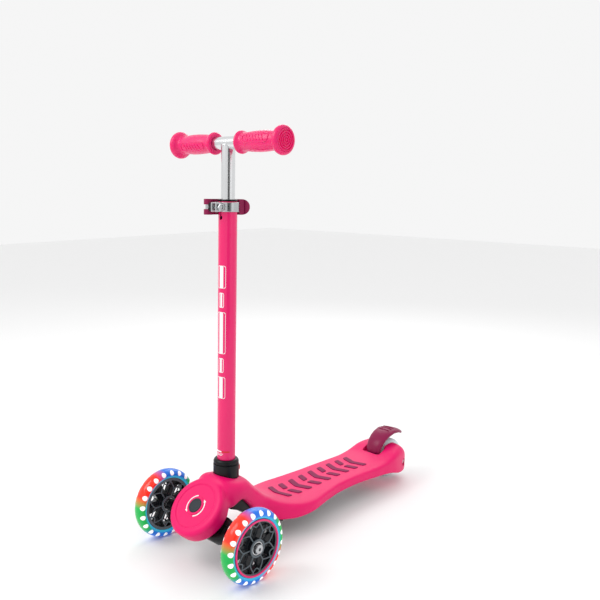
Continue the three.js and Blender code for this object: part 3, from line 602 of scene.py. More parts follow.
@dataclass(frozen=True)
class LitTyreFinish:
    """Clear tyre with the coloured glow and the lamps of the light ring inside it."""

    name: str
    centre: Vector
    glow: float = 0.3

    def material(self) -> bpy.types.Material:
        """The glowing tyre's material, centred on its own wheel."""
        work = Shading(self.name)
        lights = work.group(Groups.lights(), Vector=work.place((1, 1, 1), tuple(-self.centre)))
        grain = work.group(Groups.grain(), Vector=work.spot, Colour=lights.outputs["Colour"],
                           Tone=0.35, Roughness=0.16, Spread=0.08, Scale=260.0)
        work.feed(grain.outputs["Colour"], "Base Color")
        work.feed(grain.outputs["Roughness"], "Roughness")
        work.feed(lights.outputs["Glow"], "Emission Color")
        work.relief(grain.outputs["Height"], 0.00015, 0.2)
        work.fix(Emission_Strength=self.glow, Coat_Weight=0.3, Coat_Roughness=0.06, IOR=1.45,
                 Specular_IOR_Level=0.35)
        return work.material


class Look:
    """Every plain finish on the scooter."""

    PINK = Finish("pink_moulding", (0.82, 0.003, 0.14), 0.4, relief=0.22, coat=0.05, coat_rough=0.3,
                  worn=(0.85, 0.08, 0.26))
    PINK_PAINT = Finish("pink_powder_coat", (0.80, 0.006, 0.14), 0.3, relief=0.12, scale=1500, coat=0.6,
                        worn=(0.85, 0.06, 0.24))
    GRIP = Finish("pink_grip_rubber", (0.80, 0.01, 0.15), 0.34, relief=0.3, scale=1400, coat=0.4,
                  coat_rough=0.25, deep=0.25, tone=0.16, worn=(0.85, 0.08, 0.26))
    BURGUNDY = Finish("burgundy_moulding", (0.24, 0.003, 0.06), 0.36, relief=0.25, coat=0.1,
                      worn=(0.5, 0.2, 0.3))
    INLAY = Finish("burgundy_relief", (0.23, 0.004, 0.07), 0.55, relief=0.5, scale=1600,
                   worn=(0.45, 0.2, 0.28))
    BLACK = Finish("black_moulding", (0.005, 0.0055, 0.007), 0.3, relief=0.3, coat=0.05, coat_rough=0.3,
                   worn=(0.06, 0.06, 0.06), gloss=0.2)
    GREY = Finish("dark_grey_moulding", (0.025, 0.032, 0.04), 0.42, relief=0.25, worn=(0.14, 0.14, 0.14))
    CORE = Finish("wheel_core_black", (0.006, 0.008, 0.011), 0.25, relief=0.2, coat=0.15,
                  worn=(0.06, 0.06, 0.06))
    # Lighter grey for the wheel cores' ribs and rim bands: painted highlight on the black moulding.
    CORE_PAINTED_HIGHLIGHT = Finish("wheel_core_grey", (0.10, 0.125, 0.145), 0.3, relief=0.2, coat=0.3, worn=(0.3, 0.3, 0.3))
    TRIM = Finish("pink_trim", (0.82, 0.01, 0.16), 0.25, relief=0.1, coat=0.5, worn=(0.95, 0.4, 0.5))
    TUBE = Finish("satin_aluminium", (0.72, 0.73, 0.74), 0.22, 1.0, tone=0.1, spread=0.12, scale=300,
                  stretch=(6, 6, 0.35), relief=0.12, wear=0.08, worn=(0.55, 0.56, 0.57))
    CROSS = Finish("satin_aluminium_bar", (0.72, 0.73, 0.74), 0.22, 1.0, tone=0.1, spread=0.12, scale=300,
                   stretch=(6, 0.35, 6), relief=0.12, wear=0.08, worn=(0.55, 0.56, 0.57))
    STEEL = Finish("plated_steel", (0.5, 0.515, 0.53), 0.22, 1.0, tone=0.14, spread=0.12, scale=700,
                   relief=0.12, wear=0.1, worn=(0.4, 0.4, 0.4))
    WHITE = Finish("white_print", (0.86, 0.86, 0.86), 0.35, relief=0.08, worn=(0.9, 0.6, 0.7))
    RED = Finish("red_moulding", (0.62, 0.02, 0.012), 0.38, relief=0.2, coat=0.2, worn=(0.8, 0.4, 0.3))
    CLEAR = Finish("clear_tyre", (0.55, 0.86, 0.9), 0.12, tone=0.3, spread=0.06, scale=200, relief=0.1,
                   wear=0.08, worn=(0.8, 0.85, 0.85), coat=0.6, coat_rough=0.05, clear=0.75)
    RUBBER = Finish("black_rubber", (0.02, 0.02, 0.021), 0.7, relief=0.4, scale=1500)


# ---- studio -------------------------------------------------------------------------------
@dataclass
class Studio:
    """Pale room, soft lights and the camera."""

    place: tuple[float, float, float] = (0.9749, 0.87024, 0.61323)
    heading: float = 225.95
    dip: float = 10.19
    lens: float = 44.4
    shift: tuple[float, float] = (0.079, 0.0226)
    room: float = 0.92

    def build(self) -> None:
        """Makes the camera, the lights, the world and the floor, with plain colours."""
        bpy.context.scene.view_settings.view_transform = "Standard"
        self.camera()
        self.lights()
        self.floor()

    def camera(self) -> None:
        """Looks along the heading, dipped towards the floor."""
        yaw, pitch = math.radians(self.heading), math.radians(self.dip)
        ahead = Vector((math.cos(pitch) * math.cos(yaw), math.cos(pitch) * math.sin(yaw), -math.sin(pitch)))
        data = bpy.data.cameras.new("camera")
        data.lens = self.lens
        data.sensor_width = 36
        data.shift_x, data.shift_y = self.shift
        camera = bpy.data.objects.new("camera", data)
        bpy.context.scene.collection.objects.link(camera)
        camera.matrix_world = (Matrix.Translation(self.place)
                               @ ahead.to_track_quat("-Z", "Y").to_matrix().to_4x4())
        bpy.context.scene.camera = camera

    def lamp(self, name: str, place: Sequence[float], size: float, power: float) -> None:
        """A soft square light that faces the scooter."""
        data = bpy.data.lights.new(name, "AREA")
        data.energy = power
        data.size = size
        lamp = bpy.data.objects.new(name, data)
        bpy.context.scene.collection.objects.link(lamp)
        aim = Vector((0.05, 0, 0.25)) - Vector(place)
        lamp.matrix_world = Matrix.Translation(place) @ aim.to_track_quat("-Z", "Y").to_matrix().to_4x4()

    def lights(self) -> None:
        """An even room, a key light at the front left and a softer fill."""
        world = bpy.data.worlds.new("room")
        bpy.context.scene.world = world
        world.use_nodes = True
        sky = world.node_tree.nodes["Background"]
        sky.inputs["Color"].default_value = (1, 1, 1, 1)
        sky.inputs["Strength"].default_value = self.room
        self.lamp("key", (1.3, -0.7, 1.6), 1.0, 12)
        self.lamp("fill", (0.3, 1.7, 0.9), 1.4, 1.5)
        self.lamp("back", (-1.3, -0.8, 1.4), 1.2, 7)
        self.card("card_front", 58, 1.5)

    def card(self, name: str, azimuth: float, width: float, distance: float = 2.2) -> None:
        """A tall dark card that only gloss sees, so that round metal gets a dark band.

        Args:
            name: The card's name.
            azimuth: Where it stands round the scooter, in degrees from the front.
            width: Its width in metres.
            distance: How far out it stands, in metres.
        """
        bm = bmesh.new()
        bmesh.ops.create_grid(bm, x_segments=1, y_segments=1, size=0.5)
        bmesh.ops.scale(bm, verts=bm.verts, vec=(width, 2.6, 1))
        turn = math.radians(azimuth)
        stand = Matrix.Translation((distance * math.cos(turn), distance * math.sin(turn), 1.1))
        facing = Matrix.Rotation(turn - math.pi / 2, 4, "Z") @ Matrix.Rotation(math.pi / 2, 4, "X")
        bmesh.ops.transform(bm, matrix=stand @ facing, verts=bm.verts)
        mesh = bpy.data.meshes.new(name)
        bm.to_mesh(mesh)
        bm.free()
        card = bpy.data.objects.new(name, mesh)
        bpy.context.scene.collection.objects.link(card)
        card.data.materials.append(Finish("dark_card", (0.03, 0.03, 0.03), 0.9, relief=0.02).material())
        card.visible_camera = False
        card.visible_diffuse = False
        card.visible_shadow = False

    def floor(self) -> None:
        """A wide pale floor under the wheels."""
        bm = bmesh.new()
        bmesh.ops.create_grid(bm, x_segments=4, y_segments=4, size=6)
        mesh = bpy.data.meshes.new("floor")
        bm.to_mesh(mesh)
        bm.free()
        ground = bpy.data.objects.new("floor", mesh)
        bpy.context.scene.collection.objects.link(ground)
        ground.data.materials.append(
            Finish("pale_floor", (0.93, 0.93, 0.93), 0.75, tone=0.01, relief=0.02, wear=0.0).material())


# ---- T-bar --------------------------------------------------------------------------------
@dataclass
class Handlebar:
    """Upper tube, crossbar and the two moulded grips."""

    height: float = 670.7
    tube: float = 11
    wall: float = 1.6
    bar: float = 10
    width: float = 248
    grip: float = 96
    tube_end: float = 400
    panel: tuple[float, float] = (17.0, 71.0)
    panel_turn: float = 26.0
    grip_walls: tuple[Point2, ...] = (
        (0.4, 0), (5.9, 0), (7.4, 1.8), (7.6, 3.4), (6.9, 5.4), (4.7, 7.2), (4.0, 9.4), (3.9, 13),
        (4.7, 21), (5.4, 31), (5.8, 40), (5.9, 46), (5.8, 53), (5.4, 60), (4.7, 69), (3.9, 77),
        (4.0, 79.2), (5.0, 81.2), (8.2, 83.2), (10.6, 85.2), (11.6, 87.6), (11.7, 90), (11.0, 92.4),
        (9.4, 94.2), (7.2, 95.0))

    def build(self) -> None:
        """Builds the bar's pieces and dresses them."""
        self.tubes()
        for name, turn, way in (("left_grip", TO_LEFT, 1), ("right_grip", TO_RIGHT, -1)):
            place = STEM @ at(0, way * (self.width / 2 - self.grip), self.height) @ turn
            self.make_grip(name, place)

    def tubes(self) -> None:
        """Thin-walled aluminium tubes, with the weld bead where they meet."""
        end = self.width / 2 - 8.6
        upright = turned(ring_section(self.tube, self.tube - self.wall, self.tube_end,
                                      self.height - 4, 0.3))
        piece = as_object("upper_tube_finish", upright, STEM)
        hole = turned(disc_section(self.bar + 0.15, -30, 30, 0.2), 64)
        carve(piece, hole, STEM @ at(0, 0, self.height) @ TO_LEFT)
        fit_out(piece, "t_bar", "aluminium", Look.TUBE, "upper_tube")
        cross = turned(ring_section(self.bar, self.bar - self.wall, -end, end, 0.3))
        cross = as_object("crossbar_finish", cross, STEM @ at(0, 0, self.height) @ TO_LEFT)
        fit_out(cross, "t_bar", "aluminium", Look.CROSS, "crossbar")
        seam = []
        for k in range(72):
            a = 2 * math.pi * k / 72
            x, y = self.tube * math.cos(a), self.tube * math.sin(a)
            reach = min(abs(x), self.bar - 0.4)
            seam.append(Vector((x, y, self.height - math.sqrt(self.bar ** 2 - reach ** 2))))
        bead = as_object("crossbar_weld", wires([seam], 0.75, closed=True), STEM)
        fit_out(bead, "t_bar", "aluminium", Look.TUBE)

    def outside(self, along: float) -> float:
        """Radius of the grip at a distance from its inner end."""
        rows = [row for row in self.grip_walls if row[0] > 1]
        for (a, low), (b, high) in zip(rows, rows[1:]):
            if low <= along <= high:
                t = (along - low) / max(high - low, 1e-6)
                return self.bar + a + (b - a) * t
        return self.bar + rows[-1][0]

    def wrapped(self, along: float, turn: float, lift: float = 0.0) -> Vector:
        """A point on the grip, from its distance along and its turn in degrees."""
        r = self.outside(along) + lift
        a = math.radians(turn)
        return Vector((r * math.cos(a), r * math.sin(a), along))

    def make_grip(self, name: str, place: Matrix) -> None:
        """One grip: flanged sleeve, ringed end disc, framed panels and slanted ribs."""
        low, high = 93.9, 95.8
        rings = [(17.0, low), (16.3, high), (15.1, high), (14.3, low), (13.2, low), (12.4, high),
                 (11.3, high), (10.5, low), (9.4, low), (8.6, high), (7.6, high), (6.8, low), (5.8, low),
                 (5.0, high), (4.1, high), (3.3, low), (2.2, low), (1.5, high), (0, high)]
        walls = [(self.bar + wall, z) for wall, z in self.grip_walls]
        body = turned([*walls, *rings, (0, self.grip - 7.4), (self.bar + 0.4, self.grip - 7.4)], 112)
        bmesh.ops.remove_doubles(body, verts=body.verts, dist=1e-3)
        piece = as_object(f"{name}_sleeve", body, place, 50)
        fit_out(piece, "t_bar", "grip_rubber", Look.GRIP, name)
        frames, bars = [], []
        for middle in (-18.0, 162.0):
            start, end = self.panel
            corner = 8.0
            edge = []
            for cz, ct, first in ((end - corner, 1, 0), (start + corner, 1, 90), (start + corner, -1, 180),
                                  (end - corner, -1, 270)):
                for k in range(7):
                    a = math.radians(first + 90 * k / 6)
                    edge.append((cz + corner * math.cos(a),
                                 middle + ct * (self.panel_turn - 20) + 20 * math.sin(a)))
            frames.append([self.wrapped(z, t, 0.1) for z, t in edge])
            for k in range(6):
                z = start + 11 + k * 6.4
                bars.append([self.wrapped(z + 2.4 * s, middle + 15 * s, 0.0)
                             for s in (-1, -0.5, 0, 0.5, 1)])
        trim = joined([wires(frames, 0.85, closed=True), wires(bars, 0.95)])
        relief = as_object(f"{name}_relief", trim, place, 60)
        fit_out(relief, "t_bar", "grip_rubber", Look.GRIP)


# ---- stem ---------------------------------------------------------------------------------
@dataclass
class Stem:
    """Painted lower tube with its sleeve and its printed marks."""

    radius: float = 15
    wall: float = 2
    foot: float = 86
    top: float = 581
    inner_tube: float = 11

    def build(self) -> None:
        """Builds the tube, the sleeve in its mouth and the print on it."""
        tube = turned(ring_section(self.radius, self.radius - self.wall, self.foot, self.top, 0.35), 112)
        piece = as_object("lower_tube_paint", tube, STEM)
        slit = block((8, 2.6, 40), 0)
        carve(piece, moved(slit, at(self.radius, 0, self.top - 5)), STEM)
        carve(piece, turned(disc_section(3.2, 0, 26, 0.1), 32),
              STEM @ at(0, 0, self.top - 25) @ TO_FRONT)
        carve(piece, turned(disc_section(4.2, 0, 26, 0.1), 32), STEM @ at(0, 0, 140) @ TO_BACK)
        fit_out(piece, "chassis", "tube_paint", Look.PINK_PAINT, "lower_tube")
        lip = self.top + 0.3
        bore = self.radius - self.wall - 0.3
        inner = self.inner_tube + 0.25
        section = rounded([(inner, self.top - 26), (bore, self.top - 26), (bore, lip), (self.radius, lip),
                           (self.radius, lip + 3), (inner, lip + 3)], [0, 0, 0, 0.4, 1.6, 0.4])
        sleeve = as_object("tube_sleeve_lip", turned(section), STEM)
        carve(sleeve, moved(block((10, 1.8, 60), 0), at(self.radius, 0, self.top - 4)), STEM)
        fit_out(sleeve, "chassis", "black_plastic", Look.BLACK, "tube_sleeve")
        self.prints()

    def patch(self, outline: Sequence[Point2], facing: float) -> bmesh.types.BMesh:
        """A thin printed shape bent round the tube.

        Args:
            outline: Points of (distance round the tube, height).
            facing: Where its middle faces, in degrees from the front.

        Returns:
            The bent shape, just proud of the paint.
        """
        bm = prism(outline, 0, 0.12)
        long_edges = [e for e in bm.edges if abs(e.verts[0].co.x - e.verts[1].co.x) > 2]
        bmesh.ops.subdivide_edges(bm, edges=long_edges, cuts=5, use_grid_fill=True)
        bmesh.ops.triangulate(bm, faces=[f for f in bm.faces if len(f.verts) > 4])
        for vert in bm.verts:
            a = math.radians(facing) + vert.co.x / self.radius
            r = self.radius - 0.03 + vert.co.z
            vert.co = (r * math.cos(a), r * math.sin(a), vert.co.y)
        bmesh.ops.recalc_face_normals(bm, faces=bm.faces)
        return bm

    def prints(self) -> None:
        """A run of plain rounded bars up the tube and a small two-tone stripe near its foot."""
        bars = []
        rows = [(265, 301, 8), (308, 332, 5), (339, 407, 8), (414, 438, 5), (445, 481, 8)]
        for low, high, half in rows:
            outer = rounded([(-half, low), (half, low), (half, high), (-half, high)], [3.4] * 4, 4)
            bars.append(self.patch(outer, 8))
        marks = as_object("stem_print", joined(bars), STEM, 60)
        fit_out(marks, "chassis", "tube_paint", Look.WHITE)
        lines = [(-13, 0.6, 173.6, 176), (-9, -3.5, 170.4, 171.4), (-2.4, 3.4, 170.4, 171.4),
                 (-9, 1.4, 168.2, 169.2)]
        white = [self.patch([(a, low), (b, low), (b, high), (a, high)], 14) for a, b, low, high in lines]
        label = as_object("stem_stripe_white", joined(white), STEM, 60)
        fit_out(label, "chassis", "tube_paint", Look.WHITE)
        stripe = self.patch([(0.9, 173.6), (14.5, 173.6), (14.5, 176), (0.9, 176)], 14)
        label = as_object("stem_stripe_red", stripe, STEM, 60)
        fit_out(label, "chassis", "tube_paint", Look.RED)


@dataclass
class Clamp:
    """Quick-release clamp: split band, bolt, nut, pin and lever."""

    middle: float = 572.5
    tube: float = 15
    half: float = 7.4
    bolt_hole: float = 3.3
    lever_half: float = 12.2
    paddle_end: float = 34.6
    paddle_faces: float = 46.0
    bolt_x: float = field(init=False)
    pin_y: float = field(init=False)
    seen_from: Matrix = field(init=False)

    def __post_init__(self) -> None:
        """Places the bolt, the pin at its right end and the plane the paddle is rounded in."""
        self.bolt_x = self.tube + 8.5
        self.pin_y = -self.tube - 5
        self.seen_from = Matrix.Rotation(math.radians(self.paddle_faces + 90), 4, "Z") @ Matrix.Rotation(
            math.radians(90), 4, "X")

    def build(self) -> None:
        """Builds the clamp's pieces and dresses them."""
        place = STEM @ at(0, 0, self.middle)
        bolt_place = place @ at(self.bolt_x, 0, 0) @ TO_LEFT
        nut_place = place @ at(self.bolt_x, 7.1, 0) @ TO_LEFT
        r = self.tube + 0.3
        band = turned(ring_section(r + 2.9, r, -self.half, self.half, 0.9), 96)
        band = as_object("clamp_band_steel", band, place)
        carve(band, moved(block((20, 6, 20), 0), at(r + 8, 0, 0)), place)
        fit_out(band, "chassis", "steel", Look.STEEL, "clamp_band")
        ears = []
        for side in (-1, 1):
            ear = block((12.6, 3.6, 2 * self.half), 1.1)
            ears.append(moved(ear, at(r + 8.7, side * 4.9, 0)))
        ears = as_object("clamp_ears", joined(ears), place)
        carve(ears, turned(disc_section(self.bolt_hole, -30, 30, 0.1), 40), bolt_place)
        fit_out(ears, "chassis", "steel", Look.STEEL)
        bolt = turned(disc_section(3, self.pin_y - 3, 11, 0.6), 40)
        bolt = as_object("clamp_bolt_steel", bolt, bolt_place)
        fit_out(bolt, "chassis", "steel", Look.STEEL, "clamp_bolt")
        nut = as_object("clamp_nut_steel", prism(hexagon(6), 0, 5, 0.5), nut_place)
        carve(nut, turned(disc_section(self.bolt_hole, -1, 6, 0.1), 40), nut_place)
        fit_out(nut, "chassis", "steel", Look.STEEL, "clamp_nut")
        self.lever(place)

    def lever(self, place: Matrix) -> None:
        """The lever, wrapped round the back of the band, with a rounded paddle."""
        r = self.tube
        bx, py, half = self.bolt_x, self.pin_y, self.lever_half
        inside = arc(r + 4.2, -62, -204, 24)
        outside = arc(r + 8.4, -198, -66, 24)
        paddle = rounded([(-r - 9.5, 12.2), (-r - 15.5, 15.4), (-r - 18.8, 15), (-r - 19.3, 12.8),
                          (-r - 14.6, 8.8)], [3, 3, 1, 1, 3], 4)
        wrap = prism([(bx - 4, py + 1), *inside, *paddle, *outside, (bx + 3, py - 6)], -half, half)
        lever = as_object("clamp_lever_moulding", wrap, place, 40)
        pin_place = place @ at(bx, py, 0)
        merge(lever, turned(disc_section(7, -half, half, 0.3), 56), pin_place)
        side = [(-60, -half), *arc(half, -90, 90, 16, (self.paddle_end - half, 0)), (-60, half)]
        merge(lever, prism(side, -90, 90), place @ self.seen_from, "INTERSECT")
        carve(lever, turned(disc_section(4.8, -20, 20, 0.1), 48), pin_place)
        carve(lever, moved(block((30, 20, 7.4), 0), at(bx + 1, py + 2, 0)), place)
        carve(lever, moved(block((16, 20, 15.6), 0), at(bx - 1, py + 17.3, 0)), place)
        rims = lever.modifiers.new("rims", "BEVEL")
        rims.width = 0.9 * MM
        rims.segments = 3
        rims.limit_method = "ANGLE"
        rims.angle_limit = math.radians(50)
        settle(lever)
        fit_out(lever, "clamp", "lever_plastic", Look.BURGUNDY, "clamp_lever")
        pin = turned(disc_section(4.4, -10.6, 10.6, 0.8), 48)
        pin = as_object("clamp_pivot_pin_steel", pin, pin_place)
        carve(pin, turned(disc_section(self.bolt_hole, -8, 8, 0.1), 32), pin_place @ TO_LEFT)
        fit_out(pin, "chassis", "steel", Look.STEEL, "clamp_pivot_pin")


@dataclass
class Collar:
    """Black collar over the socket, its top ring and the release button at the back."""

    tube: float = 15
    seat: float = 127
    latch: float = 140

    def build(self) -> None:
        """Builds the collar's pieces and dresses them."""
        latch_place = STEM @ at(0, 0, self.latch) @ TO_BACK
        r = self.tube + 0.3
        base = self.seat + 0.3
        top = base + 24.3
        section = rounded([(r, base), (r + 6.2, base), (r + 6.2, top), (r, top)], [0.3, 0.8, 1.4, 0.3])
        collar = as_object("stem_collar_moulding", turned(section, 112), STEM)
        carve(collar, turned(disc_section(8.7, 10, r + 25, 0.1), 48), latch_place)
        fit_out(collar, "chassis", "black_plastic", Look.BLACK, "stem_collar")
        section = rounded([(r, top + 0.3), (r + 4.6, top + 0.3), (r + 4.6, top + 1.7), (r + 5.9, top + 2.2),
                           (r + 5.9, top + 5.4), (r + 3.3, top + 8.8), (r, top + 8.8)],
                          [0.2, 0.3, 0.4, 0.6, 1.8, 1.6, 0.3])
        cap = as_object("collar_top_ring_moulding", turned(section, 112), STEM)
        fit_out(cap, "chassis", "black_plastic", Look.BLACK, "collar_top_ring")
        section = rounded([(0, r - 3.3), (3.8, r - 3.3), (3.8, r + 3.5), (8.3, r + 3.5), (8.3, r + 9.6),
                           (0, r + 9.9)], [0, 0.4, 0, 0.6, 1.6, 0])
        button = as_object("release_button_cap", turned(section, 64), latch_place)
        fit_out(button, "release", "button_plastic", Look.RED, "release_button")
        dimple = turned(ring_section(5.4, 4.5, r + 9.3, r + 10.1, 0.3), 48)
        ridge = as_object("release_button_ridge", dimple, latch_place)
        fit_out(ridge, "release", "button_plastic", Look.RED)


# ---- deck ---------------------------------------------------------------------------------
class Bulge(Enum):
    """The two ways a deck section is used: the outer skin and the hollow inside it."""

    SKIN = 0.0
    HOLLOW = 4.0


@dataclass
class Deck:
    """The one-piece moulded body: round front, neck, waved deck and forked tail."""

    collar_seat: float = 127
    tube: float = 15
    face_radius: float = 50
    axle_x: float = -500
    wheel_radius: float = 40
    well: float = 15.5
    hinge: tuple[float, float] = (-450.5, 57)
    plate: float = 42
    screws: tuple[Point2, ...] = ((-185, 36), (-185, -36), (-385, 36), (-385, -36))
    voxel: float = 1.9
    pattern_cuts: tuple[int, int, int] = (-420, 60, 5)
    stations: tuple[tuple[float, ...], ...] = (
        # x from the front axle, half width, top, rim, bottom, squareness of the crown
        (-11, 38.5, 130.5, 100, 95, 2.3), (-17, 41, 136, 102, 93, 2.5), (-25, 43, 136.4, 103, 91.5, 2.6),
        (-45, 42.5, 131.2, 107, 99, 2.9), (-62, 40, 128.2, 102, 86, 2.9), (-72, 38, 122.8, 94, 75.5, 2.8),
        (-85, 35.5, 111.4, 80, 59.5, 2.6), (-100, 34.6, 97, 65, 45.5, 2.6),
        (-112, 37.5, 84.3, 56, 40.5, 2.8), (-128, 46.5, 73.5, 50, 36.5, 3.2),
        (-150, 56, 65.5, 47, 34, 3.6), (-165, 61.3, 62, 46.3, 34, 4), (-180, 63.8, 60, 46, 34.8, 4.4),
        (-200, 64.8, 58.6, 46.4, 36.5, 4.6), (-220, 61.8, 58.4, 48.5, 38, 4.6),
        (-240, 57.8, 59, 50.7, 38.8, 4.6), (-260, 54.4, 59.6, 52.8, 39.4, 4.6),
        (-280, 51.5, 60.2, 54.2, 39.8, 4.6), (-320, 50, 60.4, 54.5, 40.4, 4.6),
        (-360, 50, 59.7, 53, 39.2, 4.6), (-400, 51.2, 58.6, 51.6, 36.5, 4.4), (-430, 52.2, 61, 53, 34.4, 4),
        (-447, 52.4, 66.3, 55, 32, 3.6), (-462, 51.8, 72, 57.5, 28, 3.4), (-480, 48.8, 76.2, 58, 22.5, 3.2),
        (-500, 43.8, 75.8, 55, 20.3, 3), (-515, 35.5, 64.5, 46, 20.5, 2.8), (-524, 25.5, 49.5, 38, 25.5, 2.4))

    def build(self) -> None:
        """Builds the body and everything fixed to it."""
        body = self.body()
        self.foot_pattern(body)
        self.face_marks()
        self.underside()
        self.cover()
        self.small_parts()

    def station(self, x: float) -> tuple[float, ...]:
        """Half width, top, rim, bottom and squareness at x, on a smooth curve through the rows."""
        rows = self.stations
        i = next((k for k in range(len(rows) - 1) if x >= rows[k + 1][0]), len(rows) - 2)
        a, b = rows[i], rows[i + 1]
        before, after = rows[max(i - 1, 0)], rows[min(i + 2, len(rows) - 1)]
        t = (x - a[0]) / (b[0] - a[0])
        span = b[0] - a[0]
        values = []
        for k in range(1, 6):
            lead = (b[k] - before[k]) / (b[0] - before[0]) * span
            tail = (after[k] - a[k]) / (after[0] - a[0]) * span
            values.append((2 * t ** 3 - 3 * t ** 2 + 1) * a[k] + (t ** 3 - 2 * t ** 2 + t) * lead
                          + (3 * t ** 2 - 2 * t ** 3) * b[k] + (t ** 3 - t ** 2) * tail)
        return tuple(values)

    def section(self, x: float, bulge: Bulge, floor: Optional[float] = None) -> list[Vector]:
        """The ring of points round the deck at x."""
        half, top, rim, low, power = self.station(x)
        inset = bulge.value
        half -= inset
        low = low if floor is None else floor
        lift = top - inset - rim
        crown = []
        for k in range(33):
            a = math.pi * k / 32
            c = math.cos(a)
            crown.append((half * math.copysign(abs(c) ** (2 / power), c),
                          rim + lift * abs(math.sin(a)) ** (2 / power)))
        turn = min(5.0, 0.45 * (rim - low))
        right = arc(turn, 180, 270, 5, (turn - half, low + turn))
        left = arc(turn, 270, 360, 5, (half - turn, low + turn))
        return [Vector((x, y, z)) for y, z in [*left[:-1], *crown, *right[1:]]]

    def body(self) -> bpy.types.Object:
        """Melts the deck, the round front and the socket together, then cuts the openings."""
        first, last = self.stations[0][0], self.stations[-1][0]
        count = 110
        xs = [first + (last - first) * k / count for k in range(count + 1)]
        skin = lofted([self.section(x, Bulge.SKIN) for x in xs])
        r = self.face_radius
        drum = turned(rounded([(0, -27.6), (r - 0.5, -27.6), (r + 1.4, -12), (r + 1.2, 0.4), (0, 0.4)],
                              [0, 2.5, 8, 8, 0], 8), 96)
        shoulders = turned(rounded([(0, -37.4), (r - 2, -37.4), (r - 0.6, -18), (0, -18)],
                                   [0, 8, 2, 0], 6), 96)
        bmesh.ops.bisect_plane(shoulders, geom=[*shoulders.verts, *shoulders.edges, *shoulders.faces],
                               plane_co=(-24.5, 0, 0), plane_no=(1, 0, 0), clear_outer=True)
        bmesh.ops.holes_fill(shoulders, edges=[e for e in shoulders.edges if e.is_boundary])
        seat = turned(rounded([(0, 81), (19.6, 81), (19.6, 98), (23.4, 101), (23.4, 126.6), (0, 126.6)],
                              [0, 1, 2, 2, 1, 0]), 96)
        parts = [moved(skin, CHASSIS), moved(drum, STEERING), moved(shoulders, STEERING), moved(seat, STEM)]
        body = as_object("deck_body", joined(parts))
        melt = body.modifiers.new("melt", "REMESH")
        melt.mode = "VOXEL"
        melt.voxel_size = self.voxel * MM
        settle(body, None)
        self.blend(body)
        self.openings(body)
        fit_out(body, "chassis", "deck_plastic", Look.PINK, "deck_shell")
        return body

    def blend(self, body: bpy.types.Object) -> None:
        """Smooths the whole skin lightly, and the neck round the front drum deeply."""
        bm = bmesh.new()
        bm.from_mesh(body.data)
        inward = (Matrix.Scale(MM, 4) @ STEERING).inverted()
        stem = (Matrix.Scale(MM, 4) @ STEM).inverted()
        seat_radius, neck_end = 24.5, 112
        deep_passes, light_every = 10, 4
        deep = []
        for vert in bm.verts:
            face = inward @ vert.co
            post = stem @ vert.co
            near_seat = math.hypot(post.x, post.y) < seat_radius and post.z > self.collar_seat - 8
            if vert.co.x > neck_end * MM and face.z < -12 and face.x < -14 and not near_seat:
                deep.append(vert)
        for k in range(deep_passes):
            bmesh.ops.smooth_vert(bm, verts=deep, factor=0.5, use_axis_x=True, use_axis_y=True,
                                  use_axis_z=True)
            if k % light_every == 0:
                bmesh.ops.smooth_vert(bm, verts=bm.verts, factor=0.5, use_axis_x=True, use_axis_y=True,
                                      use_axis_z=True)
        bm.to_mesh(body.data)
        bm.free()

    def openings(self, body: bpy.types.Object) -> None:
        """Cuts the dished face, the sockets, the hollow, the wheel well and the axle recesses."""
        hx, hz = self.hinge
        dish = turned(rounded([(0, 12), (42.6, 12), (38.6, -1.3), (15.6, -1.3), (15.2, 2), (0, 2)],
                              [0, 0, 3.2, 0.6, 0, 0], 8), 112)
        button = turned(disc_section(12.4, -9, 12, 0.2), 80)
        hub = turned(rounded([(0, -60), (22, -60), (22, -31), (36, -31), (36, -14), (0, -14)],
                             [0, 0, 0.2, 1, 1, 0]), 80)
        bolt = turned(disc_section(4.3, -20, -4, 0.1), 40)
        socket = turned(disc_section(self.tube + 0.3, 84.6, 180, 0.3), 96)
        xs = [-140 - 284 * k / 60 for k in range(61)]
        hollow = lofted([self.section(x, Bulge.HOLLOW, 10) for x in xs])
        wheel_well = prism(rounded([(hx - 116, -self.well), (hx - 6, -self.well), (hx - 6, self.well),
                                    (hx - 116, self.well)], [0, 3, 3, 0], 4), -20, 160)
        hinge_slot = moved(block((14, 2 * self.well, 60), 0.6), at(hx + 1, 0, hz + 23))
        recess = prism(rounded([(hx - 18, -21.5), (hx + 9, -21.5), (hx + 9, 21.5), (hx - 18, 21.5)],
                               [5, 7, 7, 5], 5), hz + 2.8, 120)
        tools = [(dish, STEERING), (button, STEERING), (hub, STEERING), (bolt, STEERING), (socket, STEM),
                 (hollow, CHASSIS), (wheel_well, CHASSIS), (hinge_slot, CHASSIS), (recess, CHASSIS)]
        for turn in (TO_LEFT, TO_RIGHT):
            axle = CHASSIS @ at(self.axle_x, 0, self.wheel_radius) @ turn
            tools.append((turned(disc_section(8.6, 35, 60, 0.4), 56), axle))
            tools.append((turned(disc_section(4.3, 0, 50, 0.1), 40), axle))
            pin = CHASSIS @ at(hx, 0, hz) @ turn
            tools.append((turned(disc_section(2.3, 0, self.well + 7.1, 0.1), 32), pin))
        tools.append((turned(disc_section(self.tube + 6.8, self.collar_seat + 0.1, 180, 0.4), 96), STEM))
        for tool, place in tools:
            carve(body, tool, place, None)
        body.data.shade_smooth()
        body.data.set_sharp_from_angle(angle=math.radians(38))
        for x, y in self.screws:
            post = turned(ring_section(5, 1.9, self.plate + 3.4, self.plate + 14.6, 0.2), 32)
            post = as_object(f"screw_post_{len(bpy.data.objects)}", post, CHASSIS @ at(x, y, 0))
            fit_out(post, "chassis", "deck_plastic", Look.PINK)

